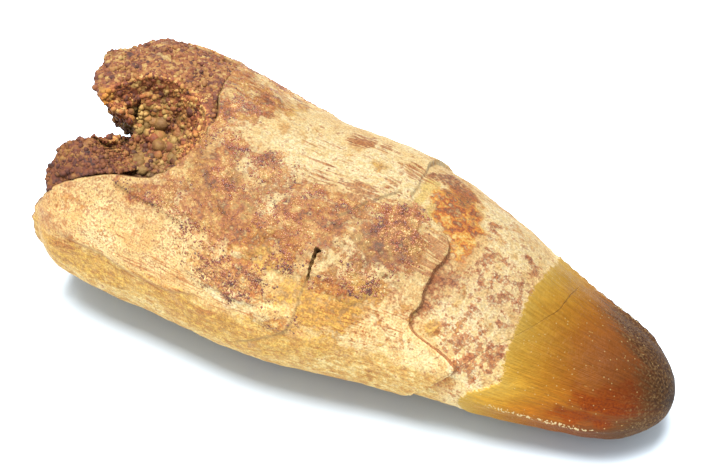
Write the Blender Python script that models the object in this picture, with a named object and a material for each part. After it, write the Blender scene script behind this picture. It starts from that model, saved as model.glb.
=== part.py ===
"""Fossil crocodylomorph tooth lying on its side, with the sandstone that fills its broken root.

The tooth is one closed solid: the crown, the root with its thin outer layer, the broken rim and the
open pulp cavity.  The sandstone is a second solid that fills the cavity and is scooped out on top.
Lengths are in millimetres and angles in degrees until a mesh is made.  X runs from the root's base
to the crown's tip, and a girth angle of 0 is the far side (+Y), 90 the top, 180 the near side (-Y)
and 270 the underside.
"""

import math

import bmesh
import bpy
import numpy as np
from mathutils import Vector, noise

MM = 0.001
# The station and the sideways place of the middle of the whole fossil's box, which is its origin
MIDDLE = (28.75, -0.63)

# Driving dimensions of the tooth
LENGTH = 58.0
STATIONS = (0.0, 6.0, 13.0, 20.0, 27.0, 32.0, 36.0, 41.0, 46.0, 51.0, 58.0)
HALF_WIDTHS = (11.5, 12.2, 12.05, 11.65, 11.3, 10.65, 9.85, 8.85, 7.2, 5.9, 4.7)
BEND_STATIONS = (0.0, 10.0, 22.0, 34.0, 46.0, 58.0)
BENDS = (0.0, -0.5, -1.4, -0.5, -1.15, -0.75)
HEIGHT_STATIONS = (0.0, 20.0, 40.0, 58.0)
HEIGHT_SHARES = (0.78, 0.77, 0.80, 0.86)
GIRTH_POWER = 0.94
TIP_ROUNDING = 6.6
BASE_ROUNDING = 2.6
# How far the base tucks in, and the power of the way to the base by which it does
BASE_TUCK = 0.1
BASE_TUCK_POWER = 2.2
# Where the relief fades out at the tip, as a share of the section that is left there
TIP_FADE = 0.25
# Gentle swells all over its outside: height, size and where each is read in the noise
SWELLS = ((0.18, 7.0, 3.0), (0.1, 3.0, 8.0))

# The thin outer layer of the root, whose broken edge is the ledge round the middle of the tooth
LAYER = 0.45
LEDGE_FOOT = 0.12
LEDGE_ANGLES = (0, 43, 73, 81, 86, 90, 94, 100, 116, 138, 146, 152, 160, 179, 198, 250, 310, 360)
LEDGE_REACH = (32.5, 30.8, 31.4, 31.4, 33.4, 35.1, 36.4, 36.8, 36.3, 36.1, 36.5, 38.3, 40.6, 39.3,
               37.1, 33.8, 34.6, 32.5)

# The crown: edge of the enamel, its thickness, how softly it starts, and the two cutting edges
ENAMEL_ANGLES = (0, 55, 90, 130, 157, 168, 179, 195, 230, 290, 360)
ENAMEL_REACH = (43.0, 44.3, 44.2, 44.4, 44.6, 43.5, 41.9, 41.2, 43.2, 44.0, 43.0)
ENAMEL = 0.1
ENAMEL_RISE = (-0.1, 0.4)
CARINA_ANGLES = (31.0, 182.0)
CARINA_HEIGHT = 0.35
CARINA_SPREAD = 7.0
CARINA_SPAN = (41.0, 56.5)
CARINA_FADE = (4.0, 3.0)

# The broken rim of the root: how far from the base each part of the wall ends
RIM_ANGLES = (0, 12, 20, 28, 34, 40, 53, 66, 74, 80, 86, 97, 103, 108, 114, 120, 124, 127, 130, 135,
              141, 148, 156, 166, 178, 196, 220, 250, 290, 330, 360)
RIM_REACH = (1.0, 0.7, 1.4, 4.6, 8.2, 10.2, 10.7, 11.2, 11.7, 12.3, 12.8, 12.9, 12.7, 12.3, 11.8, 10.9,
             9.9, 8.1, 6.5, 4.6, 2.9, 1.4, 0.7, -0.2, -0.45, -0.45, 0.4, 0.2, 0.8, 0.2,
             1.0)
WALL_AT_BASE = 1.6
WALL_DEEP = 2.4
CAVITY_DEPTH = 27.0
CAVITY_POWER = 3

# The resting side: a small worn flat under the root, and how far the ends rise from it
FLAT_STATION = 20.0
FLAT_DEPTH = 0.22
TIP_LIFT = 0.5
BASE_LIFT = 0.4

# The crack that runs half round the root and gapes on top
SLIT_STATION = 26.7
SLIT_ANGLES = (123.0, 138.0)
SLIT_WIDTHS = (0.45, 0.28, 0.28, 0.28, 0.25, 0.14)
SLIT_DEPTH = 1.3
CUTTER_REACH = 1.5

# The crust of sand on the root: each patch's station, girth angle, half length and half width
CRUST_PATCHES = (
    (20.5, 118.0, 6.5, 5.0),
    (27.5, 112.0, 6.0, 4.5),
    (33.0, 112.0, 3.6, 4.6),
    (17.0, 88.0, 4.5, 3.6),
    (19.0, 150.0, 5.0, 3.4),
    (38.5, 118.0, 2.0, 3.5),
    (14.0, 20.0, 9.0, 6.0),
    (24.0, 250.0, 8.0, 5.0),
)
CRUST = 0.3
# Between these shares of the way to a patch's edge its crust thins out
CRUST_EDGE = (0.75, 1.15)
CRUST_GRAIN = (1.3, 21.0)

# The sandstone in the root: rings round an axis of its own.  Near the base the axis lies where the
# notch's slant leads, and deeper in it lies in the middle of the cavity.
GAP = 0.3
# How far the sandstone stays off the broken rim: along the tooth, and to either side of a place,
# where the rim is looked up at this many girth angles
RIM_CLEAR = 0.8
RIM_CLEAR_ANGLE = 11.0
RIM_CLEAR_LOOKS = 5
FILL_AXIS_STATIONS = (8.0, 19.0)
FILL_AXIS_AT_BASE = (3.8, 8.0)
FILL_AXIS_DEEP = (-0.8, 7.5)
FILL_DEPTH = 24.5
FILL_FACE = 18.0
# How far its columns crowd towards the girth angle of the notch
FILL_CROWD = 20.0
FILL_CROWD_ANGLE = 127.0
# Its broken end, with the notch between 116 and 139 degrees
FILL_END_ANGLES = (0, 40, 67, 83, 94, 101, 106, 112, 115.5, 119, 121, 122.5, 124.5, 128, 132, 133.5, 135.5,
                   137, 139, 143, 146, 149, 151, 161, 174, 200, 280, 360)
FILL_END_REACH = (2.0, 0.7, -0.3, -0.5, -0.5, -0.45, 0.0, 0.7, 1.4, 2.4, 3.3, 4.5, 5.0, 4.5, 3.7, 3.1,
                  2.3, 1.6, 1.1, 0.7, 0.5, 0.2, 0.6, 1.2, 1.6, 2.2, 3.0, 2.0)
# The sandstone's end sinks to this station in its middle, by this power of the way out
FILL_END_MIDDLE = 4.2
FILL_END_POWER = 6
# Hollows scooped out of the sandstone: centre (x, y, z) and radii.  The first is the window's, and
# the last is the end's.
HOLLOWS = (
    ((7.4, -2.9, 22.3), (5.6, 5.6, 8.2)),
    ((9.0, -5.4, 16.4), (3.2, 2.4, 2.6)),
    ((5.9, -5.0, 18.2), (2.4, 2.0, 2.4)),
    ((-2.5, 2.4, 10.5), (8.0, 6.5, 5.0)),
)
# Its grains and lumps: height, size and where each is read in the noise
LUMPS = ((0.55, 1.9, 5.0), (0.25, 0.95, 9.0))
LUMP_SINK = 0.15
THINNEST = 0.8
# A ray from inside the sandstone ends nearer than this, and halving this often finds its end
RAY_REACH = 20.0
RAY_HALVINGS = 34
PEBBLE_SHARE = 0.8
# Lumps that stand out of the sandstone: centre (x, y, z) and radius
PEBBLES = (
    ((4.3, 3.6, 16.4), 0.9),
    ((6.8, 3.6, 15.4), 1.2),
    ((8.9, 4.1, 14.9), 1.5),
    ((8.9, 1.6, 14.6), 1.0),
    ((6.9, -3.2, 14.2), 1.3),
    ((12.4, -4.6, 15.4), 1.2),
    ((1.8, -8.2, 16.2), 1.4),
    ((2.0, 3.4, 17.6), 1.3),
)

# Mesh counts
GIRTH_STEPS = 64
CROWN_ROWS = 12
NECK_ROWS = 6
LEDGE_ROWS = 8
ROOT_ROWS = 14
CAVITY_ROWS = 8
FILL_GIRTH_STEPS = 60
FILL_DEEP_ROWS = 3
FILL_FACE_ROWS = 22
FILL_END_ROWS = 4
SHARP_ANGLE = math.radians(50)


def smooth_curve(knots, values, at):
    """A curve through the knots that never overshoots: cubic pieces whose slopes are harmonic means."""
    knots, values, at = (np.asarray(v, float) for v in (knots, values, at))
    steps = np.diff(knots)
    slopes = np.diff(values) / steps
    same_way = slopes[:-1] * slopes[1:] > 0
    mean = 2 * slopes[:-1] * slopes[1:] / np.where(same_way, slopes[:-1] + slopes[1:], 1.0)
    tangents = np.concatenate([slopes[:1], np.where(same_way, mean, 0.0), slopes[-1:]])
    piece = np.clip(np.searchsorted(knots, at, side="right") - 1, 0, len(steps) - 1)
    step = steps[piece]
    t = (at - knots[piece]) / step
    return (
        values[piece] * (1 + 2 * t) * (1 - t) ** 2
        + values[piece + 1] * t**2 * (3 - 2 * t)
        + step * t * (1 - t) * (tangents[piece] * (1 - t) - tangents[piece + 1] * t)
    )


def soft_step(low, high, value):
    """0 below low, 1 above high, and a smooth rise between."""
    t = np.clip((np.asarray(value, float) - low) / (high - low), 0, 1)
    return t * t * (3 - 2 * t)


def rough(points, size, seed):
    """Smooth noise between -1 and 1 at each point, with features of the given size."""
    flat = np.asarray(points, float).reshape(-1, 3) / size + seed
    values = [noise.noise(Vector(p)) for p in flat]
    return np.array(values).reshape(np.shape(points)[:-1])


def section(station):
    """Half width, half height, and centre (y, z) of the tooth's core at each station."""
    half_width = smooth_curve(STATIONS, HALF_WIDTHS, station)
    half_height = half_width * np.interp(station, HEIGHT_STATIONS, HEIGHT_SHARES)
    lift = np.where(
        station > FLAT_STATION,
        TIP_LIFT * ((station - FLAT_STATION) / (LENGTH - FLAT_STATION)) ** 2,
        BASE_LIFT * ((FLAT_STATION - station) / FLAT_STATION) ** 2,
    )
    centre_y = smooth_curve(BEND_STATIONS, BENDS, station)
    centre_z = half_height + LAYER - FLAT_DEPTH + lift
    return half_width, half_height, centre_y, centre_z


def end_rounding(station):
    """The share of the section that is left at a station: a quarter ellipse closes the tip, and the
    base tucks in a little."""
    past = np.clip((station - LENGTH + TIP_ROUNDING) / TIP_ROUNDING, 0, 1)
    tuck = BASE_TUCK * np.clip(1 - station / BASE_ROUNDING, 0, 1) ** BASE_TUCK_POWER
    return np.sqrt(1 - past**2) * (1 - tuck)


def on_section(station, girth, relief, share=None):
    """The points of a rounded section, its outline moved out by the relief."""
    half_width, half_height, centre_y, centre_z = section(station)
    share = end_rounding(station) if share is None else share
    cosine, sine = np.cos(np.radians(girth)), np.sin(np.radians(girth))
    across = np.sign(cosine) * np.abs(cosine) ** GIRTH_POWER
    upward = np.sign(sine) * np.abs(sine) ** GIRTH_POWER
    y = centre_y + (half_width * share + relief) * across
    z = centre_z + (half_height * share + relief) * upward
    return np.stack([station + 0 * y, y, z], axis=-1)


def ring_curve(angles, reach, girth):
    """The station of a line that runs round the tooth, at each girth angle."""
    return smooth_curve(angles, reach, np.mod(girth, 360))


def crust_cover(station, girth):
    """How far the crust of sand covers a place: 1 inside a patch, 0 outside all of them."""
    half_width = section(station)[0]
    cover = np.zeros(np.broadcast(station, girth).shape)
    for patch_station, patch_girth, half_length, half_girth in CRUST_PATCHES:
        turn = np.mod(girth - patch_girth + 180, 360) - 180
        around = np.radians(turn) * half_width / half_girth
        along = (station - patch_station) / half_length
        cover = np.maximum(cover, 1 - soft_step(*CRUST_EDGE, np.hypot(along, around)))
    return cover


def outer_relief(station, girth, on_layer):
    """How far the outside stands out from the core: the root's layer, the crust, the enamel and the
    cutting edges."""
    place = on_section(station, girth, 0.0)
    swell = sum(height * rough(place, size, seed) for height, size, seed in SWELLS)
    crust = crust_cover(station, girth) * CRUST * (1.0 + rough(place, *CRUST_GRAIN))
    root = on_layer * LAYER + crust
    reach = ring_curve(ENAMEL_ANGLES, ENAMEL_REACH, girth)
    enamel = ENAMEL * soft_step(*ENAMEL_RISE, station - reach)
    carina = np.zeros_like(place[..., 0])
    for angle in CARINA_ANGLES:
        turn = np.mod(girth - angle + 180, 360) - 180
        carina = carina + np.exp(-((turn / CARINA_SPREAD) ** 2))
    start, end = CARINA_SPAN
    rise, fall = CARINA_FADE
    carina = CARINA_HEIGHT * carina * soft_step(start, start + rise, station)
    carina = carina * (1 - soft_step(end - fall, end, station))
    return (swell + root + enamel + carina) * soft_step(0.0, TIP_FADE, end_rounding(station))


def tooth_rows():
    """The rings of the tooth's surface, from just behind the tip, over the outside to the rim, and
    down the pulp cavity.  Each ring is an array of points."""
    girth = np.arange(GIRTH_STEPS) * 360 / GIRTH_STEPS
    tip = np.full(GIRTH_STEPS, LENGTH)
    enamel = ring_curve(ENAMEL_ANGLES, ENAMEL_REACH, girth)
    ledge = ring_curve(LEDGE_ANGLES, LEDGE_REACH, girth)
    slit = np.full(GIRTH_STEPS, SLIT_STATION)
    rim = ring_curve(RIM_ANGLES, RIM_REACH, girth)
    rows = []
    # The nose is spaced by angle, so that its rings stay even where it closes.
    for turn in np.linspace(0, math.pi / 2, CROWN_ROWS + 1)[1:]:
        station = tip - (tip - enamel) * (1 - math.cos(turn))
        rows.append(on_section(station, girth, outer_relief(station, girth, 0.0)))
    for share in np.linspace(0, 1, NECK_ROWS + 1)[1:]:
        station = enamel + (ledge + LEDGE_FOOT - enamel) * share
        rows.append(on_section(station, girth, outer_relief(station, girth, 0.0)))
    for share in np.linspace(0, 1, LEDGE_ROWS + 1)[:-1]:
        station = ledge + (slit - ledge) * share
        rows.append(on_section(station, girth, outer_relief(station, girth, 1.0)))
    for share in np.linspace(0, 1, ROOT_ROWS + 1):
        station = slit + (rim - slit) * share
        rows.append(on_section(station, girth, outer_relief(station, girth, 1.0)))
    # The cavity's rings crowd towards its rounded deep end.
    for turn in np.linspace(0, math.pi / 2, CAVITY_ROWS + 1)[:-1]:
        station = rim + (CAVITY_DEPTH - rim) * math.sin(turn)
        rows.append(on_cavity(station, girth, 0.0))
    return rows


def cavity_share(station):
    """The pulp cavity's taper: 1 at the base, closing like a rounded cone at its depth."""
    way = np.clip(station, 0, None) / CAVITY_DEPTH
    return np.sqrt(np.clip(1 - way**CAVITY_POWER, 0, 1))


def on_cavity(station, girth, gap):
    """Points on the wall of the pulp cavity, or inside it by the gap."""
    half_width = section(station)[0]
    wall = WALL_AT_BASE + (WALL_DEEP - WALL_AT_BASE) * soft_step(0, CAVITY_DEPTH, station)
    share = cavity_share(station) * (half_width - wall) / half_width
    return on_section(station, girth, -gap, share)


def skin(rows, first_pole, last_pole):
    """A closed mesh over rings of points, ended by a fan to a pole at each end."""
    mesh = bmesh.new()
    rings = [[mesh.verts.new(point * MM) for point in row] for row in rows]
    first = mesh.verts.new(np.asarray(first_pole) * MM)
    last = mesh.verts.new(np.asarray(last_pole) * MM)
    count = len(rings[0])
    for i in range(count):
        j = (i + 1) % count
        mesh.faces.new((first, rings[0][i], rings[0][j]))
        mesh.faces.new((last, rings[-1][j], rings[-1][i]))
    for upper, lower in zip(rings, rings[1:]):
        for i in range(count):
            j = (i + 1) % count
            mesh.faces.new((upper[i], lower[i], lower[j], upper[j]))
    bmesh.ops.recalc_face_normals(mesh, faces=mesh.faces)
    return mesh


def cut_flat(mesh):
    """Cuts the underside off at z = 0, which leaves the worn flat that the tooth rests on."""
    parts = mesh.verts[:] + mesh.edges[:] + mesh.faces[:]
    cut = bmesh.ops.bisect_plane(
        mesh, geom=parts, plane_co=(0, 0, 0), plane_no=(0, 0, -1), clear_outer=True
    )
    edges = [e for e in cut["geom_cut"] if isinstance(e, bmesh.types.BMEdge)]
    bmesh.ops.edgeloop_fill(mesh, edges=edges)
    bmesh.ops.recalc_face_normals(mesh, faces=mesh.faces)


def add_object(name, mesh, material):
    """Puts the mesh into the scene as a named object, centred over the origin."""
    station, sideways = MIDDLE
    bmesh.ops.translate(mesh, verts=mesh.verts, vec=(-station * MM, -sideways * MM, 0))
    data = bpy.data.meshes.new(name)
    mesh.to_mesh(data)
    mesh.free()
    data.materials.append(material)
    data.shade_smooth()
    data.set_sharp_from_angle(angle=SHARP_ANGLE)
    item = bpy.data.objects.new(name, data)
    bpy.context.scene.collection.objects.link(item)
    return item


def add_material(name, colour, roughness):
    """A plain finish of one colour."""
    material = bpy.data.materials.new(name)
    material.use_nodes = True
    shader = material.node_tree.nodes["Principled BSDF"]
    shader.inputs["Base Color"].default_value = (*colour, 1.0)
    shader.inputs["Roughness"].default_value = roughness
    return material


def make_slit_cutter():
    """A thin wedge along the crack's gaping stretch, wide outside and closed at its foot."""
    mesh = bmesh.new()
    angles = np.linspace(*SLIT_ANGLES, len(SLIT_WIDTHS))
    outside, inside = [], []
    for angle, width in zip(angles, SLIT_WIDTHS):
        for side in (-width / 2, width / 2):
            station = np.array(SLIT_STATION + side)
            outside.append(on_section(station, angle, LAYER + CUTTER_REACH))
            inside.append(on_section(station, angle, LAYER - SLIT_DEPTH))
    outer = [mesh.verts.new(p * MM) for p in outside]
    inner = [mesh.verts.new(p * MM) for p in inside]
    for i in range(0, len(outer) - 2, 2):
        mesh.faces.new((outer[i], outer[i + 1], outer[i + 3], outer[i + 2]))
        mesh.faces.new((inner[i], inner[i + 2], inner[i + 3], inner[i + 1]))
        mesh.faces.new((outer[i], outer[i + 2], inner[i + 2], inner[i]))
        mesh.faces.new((outer[i + 1], inner[i + 1], inner[i + 3], outer[i + 3]))
    for i in (0, len(outer) - 2):
        mesh.faces.new((outer[i], inner[i], inner[i + 1], outer[i + 1]))
    bmesh.ops.recalc_face_normals(mesh, faces=mesh.faces)
    return mesh


def make_tooth(material):
    """The tooth, with its flat underside cut and the gaping part of its crack cut in."""
    tip = on_section(np.array(LENGTH), 0.0, 0.0)
    apex = on_cavity(np.array(CAVITY_DEPTH), 0.0, 0.0)
    mesh = skin(tooth_rows(), tip, apex)
    cut_flat(mesh)
    tooth = add_object("tooth", mesh, material)
    cutter = add_object("slit_cutter", make_slit_cutter(), material)
    cutter.hide_render = True
    cutter.display_type = "WIRE"
    slit = tooth.modifiers.new("slit", "BOOLEAN")
    slit.operation = "DIFFERENCE"
    slit.object = cutter


def fill_limit(points):
    """Below 0 where the sandstone may be: inside the pulp cavity, or where the wall is broken away,
    out to the tooth's own outline."""
    station, y, z = points[..., 0], points[..., 1], points[..., 2]
    half_width, half_height, centre_y, centre_z = section(np.clip(station, 0, CAVITY_DEPTH))
    girth = np.degrees(np.arctan2((z - centre_z) / half_height, (y - centre_y) / half_width))
    turns = np.linspace(-RIM_CLEAR_ANGLE, RIM_CLEAR_ANGLE, RIM_CLEAR_LOOKS)
    clear = np.min([ring_curve(RIM_ANGLES, RIM_REACH, girth + turn) for turn in turns], axis=0)
    open_wall = station < clear - RIM_CLEAR
    inner = on_cavity(np.clip(station, 0, CAVITY_DEPTH), girth, GAP)
    outer_share = (1 + end_rounding(np.clip(station, 0, None))) / 2
    outer = on_section(np.clip(station, 0, None), girth, LAYER, outer_share)
    edge = np.where(open_wall[..., None], outer, inner)
    reach = np.hypot(edge[..., 1] - centre_y, edge[..., 2] - centre_z)
    return np.hypot(y - centre_y, z - centre_z) - reach


def hollow(points, centre, radii):
    """Above 0 inside an ellipsoid that is scooped out, roughly in millimetres."""
    offset = (points - np.array(centre)) / np.array(radii)
    return (1 - np.linalg.norm(offset, axis=-1)) * min(radii)


def fill_cuts(points):
    """Above 0 where the sandstone is scooped."""
    return np.maximum.reduce([hollow(points, centre, radii) for centre, radii in HOLLOWS])


def fill_surface(points):
    """Above 0 outside the scooped sandstone."""
    return np.maximum(fill_limit(points), fill_cuts(points))


def last_inside(starts, directions, outside_of):
    """How far each ray goes from its start before outside_of turns positive, by halving."""
    near = np.zeros(starts.shape[:-1])
    far = np.full(starts.shape[:-1], RAY_REACH)
    for _ in range(RAY_HALVINGS):
        middle = (near + far) / 2
        out = outside_of(starts + directions * middle[..., None]) > 0
        near, far = np.where(out, near, middle), np.where(out, middle, far)
    return near


def lumps_at(points):
    """How far the sandstone's grains and lumps stand out at each point."""
    lumps = sum(height * rough(points, size, seed) for height, size, seed in LUMPS)
    for centre, radius in PEBBLES:
        away = np.linalg.norm(points - np.array(centre), axis=-1) / radius
        lumps = lumps + PEBBLE_SHARE * radius * np.clip(1 - away**2, 0, 1)
    return lumps


def fill_axis(station):
    """The sideways place and the height of the sandstone's own axis at each station."""
    share = soft_step(*FILL_AXIS_STATIONS, station)[..., None]
    return np.array(FILL_AXIS_AT_BASE) * (1 - share) + np.array(FILL_AXIS_DEEP) * share


def fill_rows():
    """The rings of the sandstone's surface, from its deep end to its broken end and over that to the
    middle.  Each ring's points lie on rays out from the axis, which end at the cavity's wall or at
    the scooped face; lumps and pebbles roughen the face."""
    even = np.arange(FILL_GIRTH_STEPS) * 360 / FILL_GIRTH_STEPS
    girth = np.mod(even - FILL_CROWD * np.sin(np.radians(even - FILL_CROWD_ANGLE)), 360)
    end = ring_curve(FILL_END_ANGLES, FILL_END_REACH, girth)
    deep = np.linspace(FILL_DEPTH, FILL_FACE, FILL_DEEP_ROWS + 1)[:-1, None] + 0 * girth
    face = FILL_FACE + (end - FILL_FACE) * np.linspace(0, 1, FILL_FACE_ROWS + 1)[:, None]
    station = np.concatenate([deep, face])
    starts = np.concatenate([station[..., None], fill_axis(station)], axis=-1)
    turn = np.radians(girth)
    directions = np.stack([0 * turn, np.cos(turn), np.sin(turn)], axis=-1) + 0 * starts
    limit = last_inside(starts, directions, fill_limit)
    reach = last_inside(starts, directions, fill_surface)
    lumps = lumps_at(starts + directions * reach[..., None])
    reach = np.minimum(limit, np.maximum(reach + lumps - LUMP_SINK, THINNEST))
    rows = list(starts + directions * reach[..., None])
    edge = rows[-1]
    middle = np.array([FILL_END_MIDDLE, *FILL_AXIS_AT_BASE])
    for share in np.linspace(1, 0, FILL_END_ROWS + 2)[1:-1]:
        inner = middle + (edge - middle) * share
        inner[:, 0] = FILL_FACE / 2
        outward = np.array([-1.0, 0.0, 0.0]) + 0 * inner
        face = inner[:, 0] - last_inside(inner, outward, fill_cuts)
        face = np.maximum(face, middle[0] + (end - middle[0]) * share**FILL_END_POWER)
        inner[:, 0] = face
        inner[:, 0] = face - lumps_at(inner)
        rows.append(inner)
    return rows


def make_fill(material):
    """The sandstone that fills the root, closed at its deep end and at the base."""
    rows = fill_rows()
    mesh = skin(rows, np.mean(rows[0], axis=0), np.mean(rows[-1], axis=0))
    add_object("sandstone_fill", mesh, material)


def main():
    for item in list(bpy.data.objects):
        bpy.data.objects.remove(item)
    tooth_finish = add_material("fossil_tooth", (0.72, 0.52, 0.31), 0.55)
    stone_finish = add_material("sandstone", (0.40, 0.20, 0.12), 0.9)
    make_tooth(tooth_finish)
    make_fill(stone_finish)


if __name__ == "__main__":
    main()
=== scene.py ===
"""The looks of a fossil crocodylomorph tooth: the crown, the cracked and sand-crusted root, and
the sandstone that fills it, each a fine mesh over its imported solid, on a pale floor in soft light.

Lengths are in millimetres and angles in degrees until a mesh is made.  A station runs from the
root's base at 0 to the crown's tip at 58, and a girth angle is 0 on the far side (+Y), 90 on top,
180 on the near side (-Y) and 270 underneath, as in the part's source.
"""

import logging
import math
from dataclasses import dataclass, field
from enum import Enum
from functools import partial, reduce
from typing import Any, Sequence

import bpy
import numpy as np
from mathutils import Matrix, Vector


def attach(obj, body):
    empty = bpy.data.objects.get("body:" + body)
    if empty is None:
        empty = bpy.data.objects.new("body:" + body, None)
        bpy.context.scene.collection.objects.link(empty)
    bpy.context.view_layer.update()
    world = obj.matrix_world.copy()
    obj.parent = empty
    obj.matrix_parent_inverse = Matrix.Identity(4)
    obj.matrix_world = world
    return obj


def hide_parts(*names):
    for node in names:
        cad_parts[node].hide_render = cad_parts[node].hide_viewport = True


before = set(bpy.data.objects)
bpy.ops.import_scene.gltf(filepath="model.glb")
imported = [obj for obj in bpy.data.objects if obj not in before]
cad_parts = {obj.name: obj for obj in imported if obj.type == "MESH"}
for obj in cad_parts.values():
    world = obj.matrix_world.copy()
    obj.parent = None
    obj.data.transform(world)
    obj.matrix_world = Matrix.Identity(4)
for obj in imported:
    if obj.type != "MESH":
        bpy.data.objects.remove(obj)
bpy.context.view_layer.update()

MM = 0.001
BODY = "root"
# The station and the sideways place of the middle of the whole fossil's box, which is its origin
MIDDLE = np.array([28.75, -0.63, 0.0])
# How much of each colour as it is seen the surface gives back, as the studio's light is strong
SEEN_SHARE = (0.52, 0.455, 0.305)
# How strong each finer layer of a finish's noise is, next to the one above it
FINER_LAYERS = 0.55
# The values of a mark between which its patch comes to count
MARKED = (0.02, 0.3)
# A section's mean radius, as a share of its half width
MEAN_RADIUS = 0.9
LOG = logging.getLogger("fossil_tooth")

Array = np.ndarray
Socket = bpy.types.NodeSocket
# A row of colours: shares in rising order, each with a hex colour
Stops = tuple[tuple[float, str], ...]


class Mark(Enum):
    """What each vertex tells the finishes about its place."""

    WAY = "way_along_the_tooth"
    PAST_ENAMEL = "past_enamel_edge"
    PAST_LEDGE = "past_ledge"
    FROM_CRACK = "from_root_crack"
    CRACK_SHOWS = "root_crack_shows"
    FROM_CROWN_CRACK = "from_crown_crack"
    CROWN_CRACK_SHOWS = "crown_crack_shows"
    FROM_SHOULDER = "from_shoulder"
    SHOULDER_SHOWS = "shoulder_shows"
    SAND = "sand"
    DARK_SAND = "dark_sand"
    OCHRE = "ochre"
    RUST = "rust"
    ORANGE = "orange"
    DARK_RUST = "dark_rust"
    FILM = "green_film"
    BROWN = "brown"
    PORES = "pores"
    STRIPES = "stripes"
    PALE = "pale"
    MOTTLE = "mottle"
    UNDERSIDE = "underside"
    # The recess behind the ledge: its reddish brown, and painted shade of the ledge's step
    RECESS = "recess"
    # Painted light: a red glow, as of light through the amber enamel
    GLOW = "red_glow"
    TIP = "dark_tip"
    CUTTING_EDGE = "cutting_edge"
    INSIDE = "inside_wall"
    # Painted shade deep in the hollow, and the near lobe's darker stone
    SHADE_AND_DARK_LOBE = "painted_shade_and_dark_lobe"
    OLIVE = "olive"
    MUSTARD = "mustard"
    TINT = "tint"
    # Painted light and shade: a factor that a colour is multiplied by, for where the light falls
    SHADE = "painted_light_and_shade"


# What the marks say inside the rim, where it isn't 0
INSIDE_VALUES = {
    Mark.PAST_ENAMEL: -20.0, Mark.PAST_LEDGE: -20.0, Mark.FROM_CRACK: 20.0,
    Mark.FROM_CROWN_CRACK: 20.0, Mark.FROM_SHOULDER: 20.0, Mark.INSIDE: 1.0,
}


def smooth_curve(knots: Sequence[float], values: Sequence[float], at: Array) -> Array:
    """A curve through the knots that never overshoots: cubic pieces with harmonic mean slopes.

    Args:
        knots: Where the curve's values are given, in rising order.
        values: The value at each knot.
        at: Where the curve is read.

    Returns:
        The curve's value at each place.
    """
    where, what, at = (np.asarray(v, float) for v in (knots, values, at))
    steps = np.diff(where)
    slopes = np.diff(what) / steps
    same_way = slopes[:-1] * slopes[1:] > 0
    mean = 2 * slopes[:-1] * slopes[1:] / np.where(same_way, slopes[:-1] + slopes[1:], 1.0)
    tangents = np.concatenate([slopes[:1], np.where(same_way, mean, 0.0), slopes[-1:]])
    piece = np.clip(np.searchsorted(where, at, side="right") - 1, 0, len(steps) - 1)
    step = steps[piece]
    t = (at - where[piece]) / step
    return (
        what[piece] * (1 + 2 * t) * (1 - t) ** 2
        + what[piece + 1] * t**2 * (3 - 2 * t)
        + step * t * (1 - t) * (tangents[piece] * (1 - t) - tangents[piece + 1] * t)
    )


def soft_step(low: float, high: float, value: Array) -> Array:
    """0 below low, 1 above high, and 3t^2 - 2t^3 between, where t is the share of the way."""
    t = np.clip((np.asarray(value, float) - low) / (high - low), 0, 1)
    return t * t * (3 - 2 * t)


def ring_curve(angles: Sequence[float], reach: Sequence[float], girth: Array) -> Array:
    """The station of a line that runs round the tooth, at each girth angle."""
    return smooth_curve(angles, reach, np.mod(girth, 360))


def turn_from(girth: Array, angle: float) -> Array:
    """How far each girth angle is from the given one, from -180 to 180."""
    return np.mod(girth - angle + 180, 360) - 180


@dataclass(frozen=True)
class Rough:
    """One roughness: the height and the size of its waves, where in space it is read, and how many
    sizes there are."""

    height: float
    size: float
    shift: float = 0.0
    count: int = 3


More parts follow.
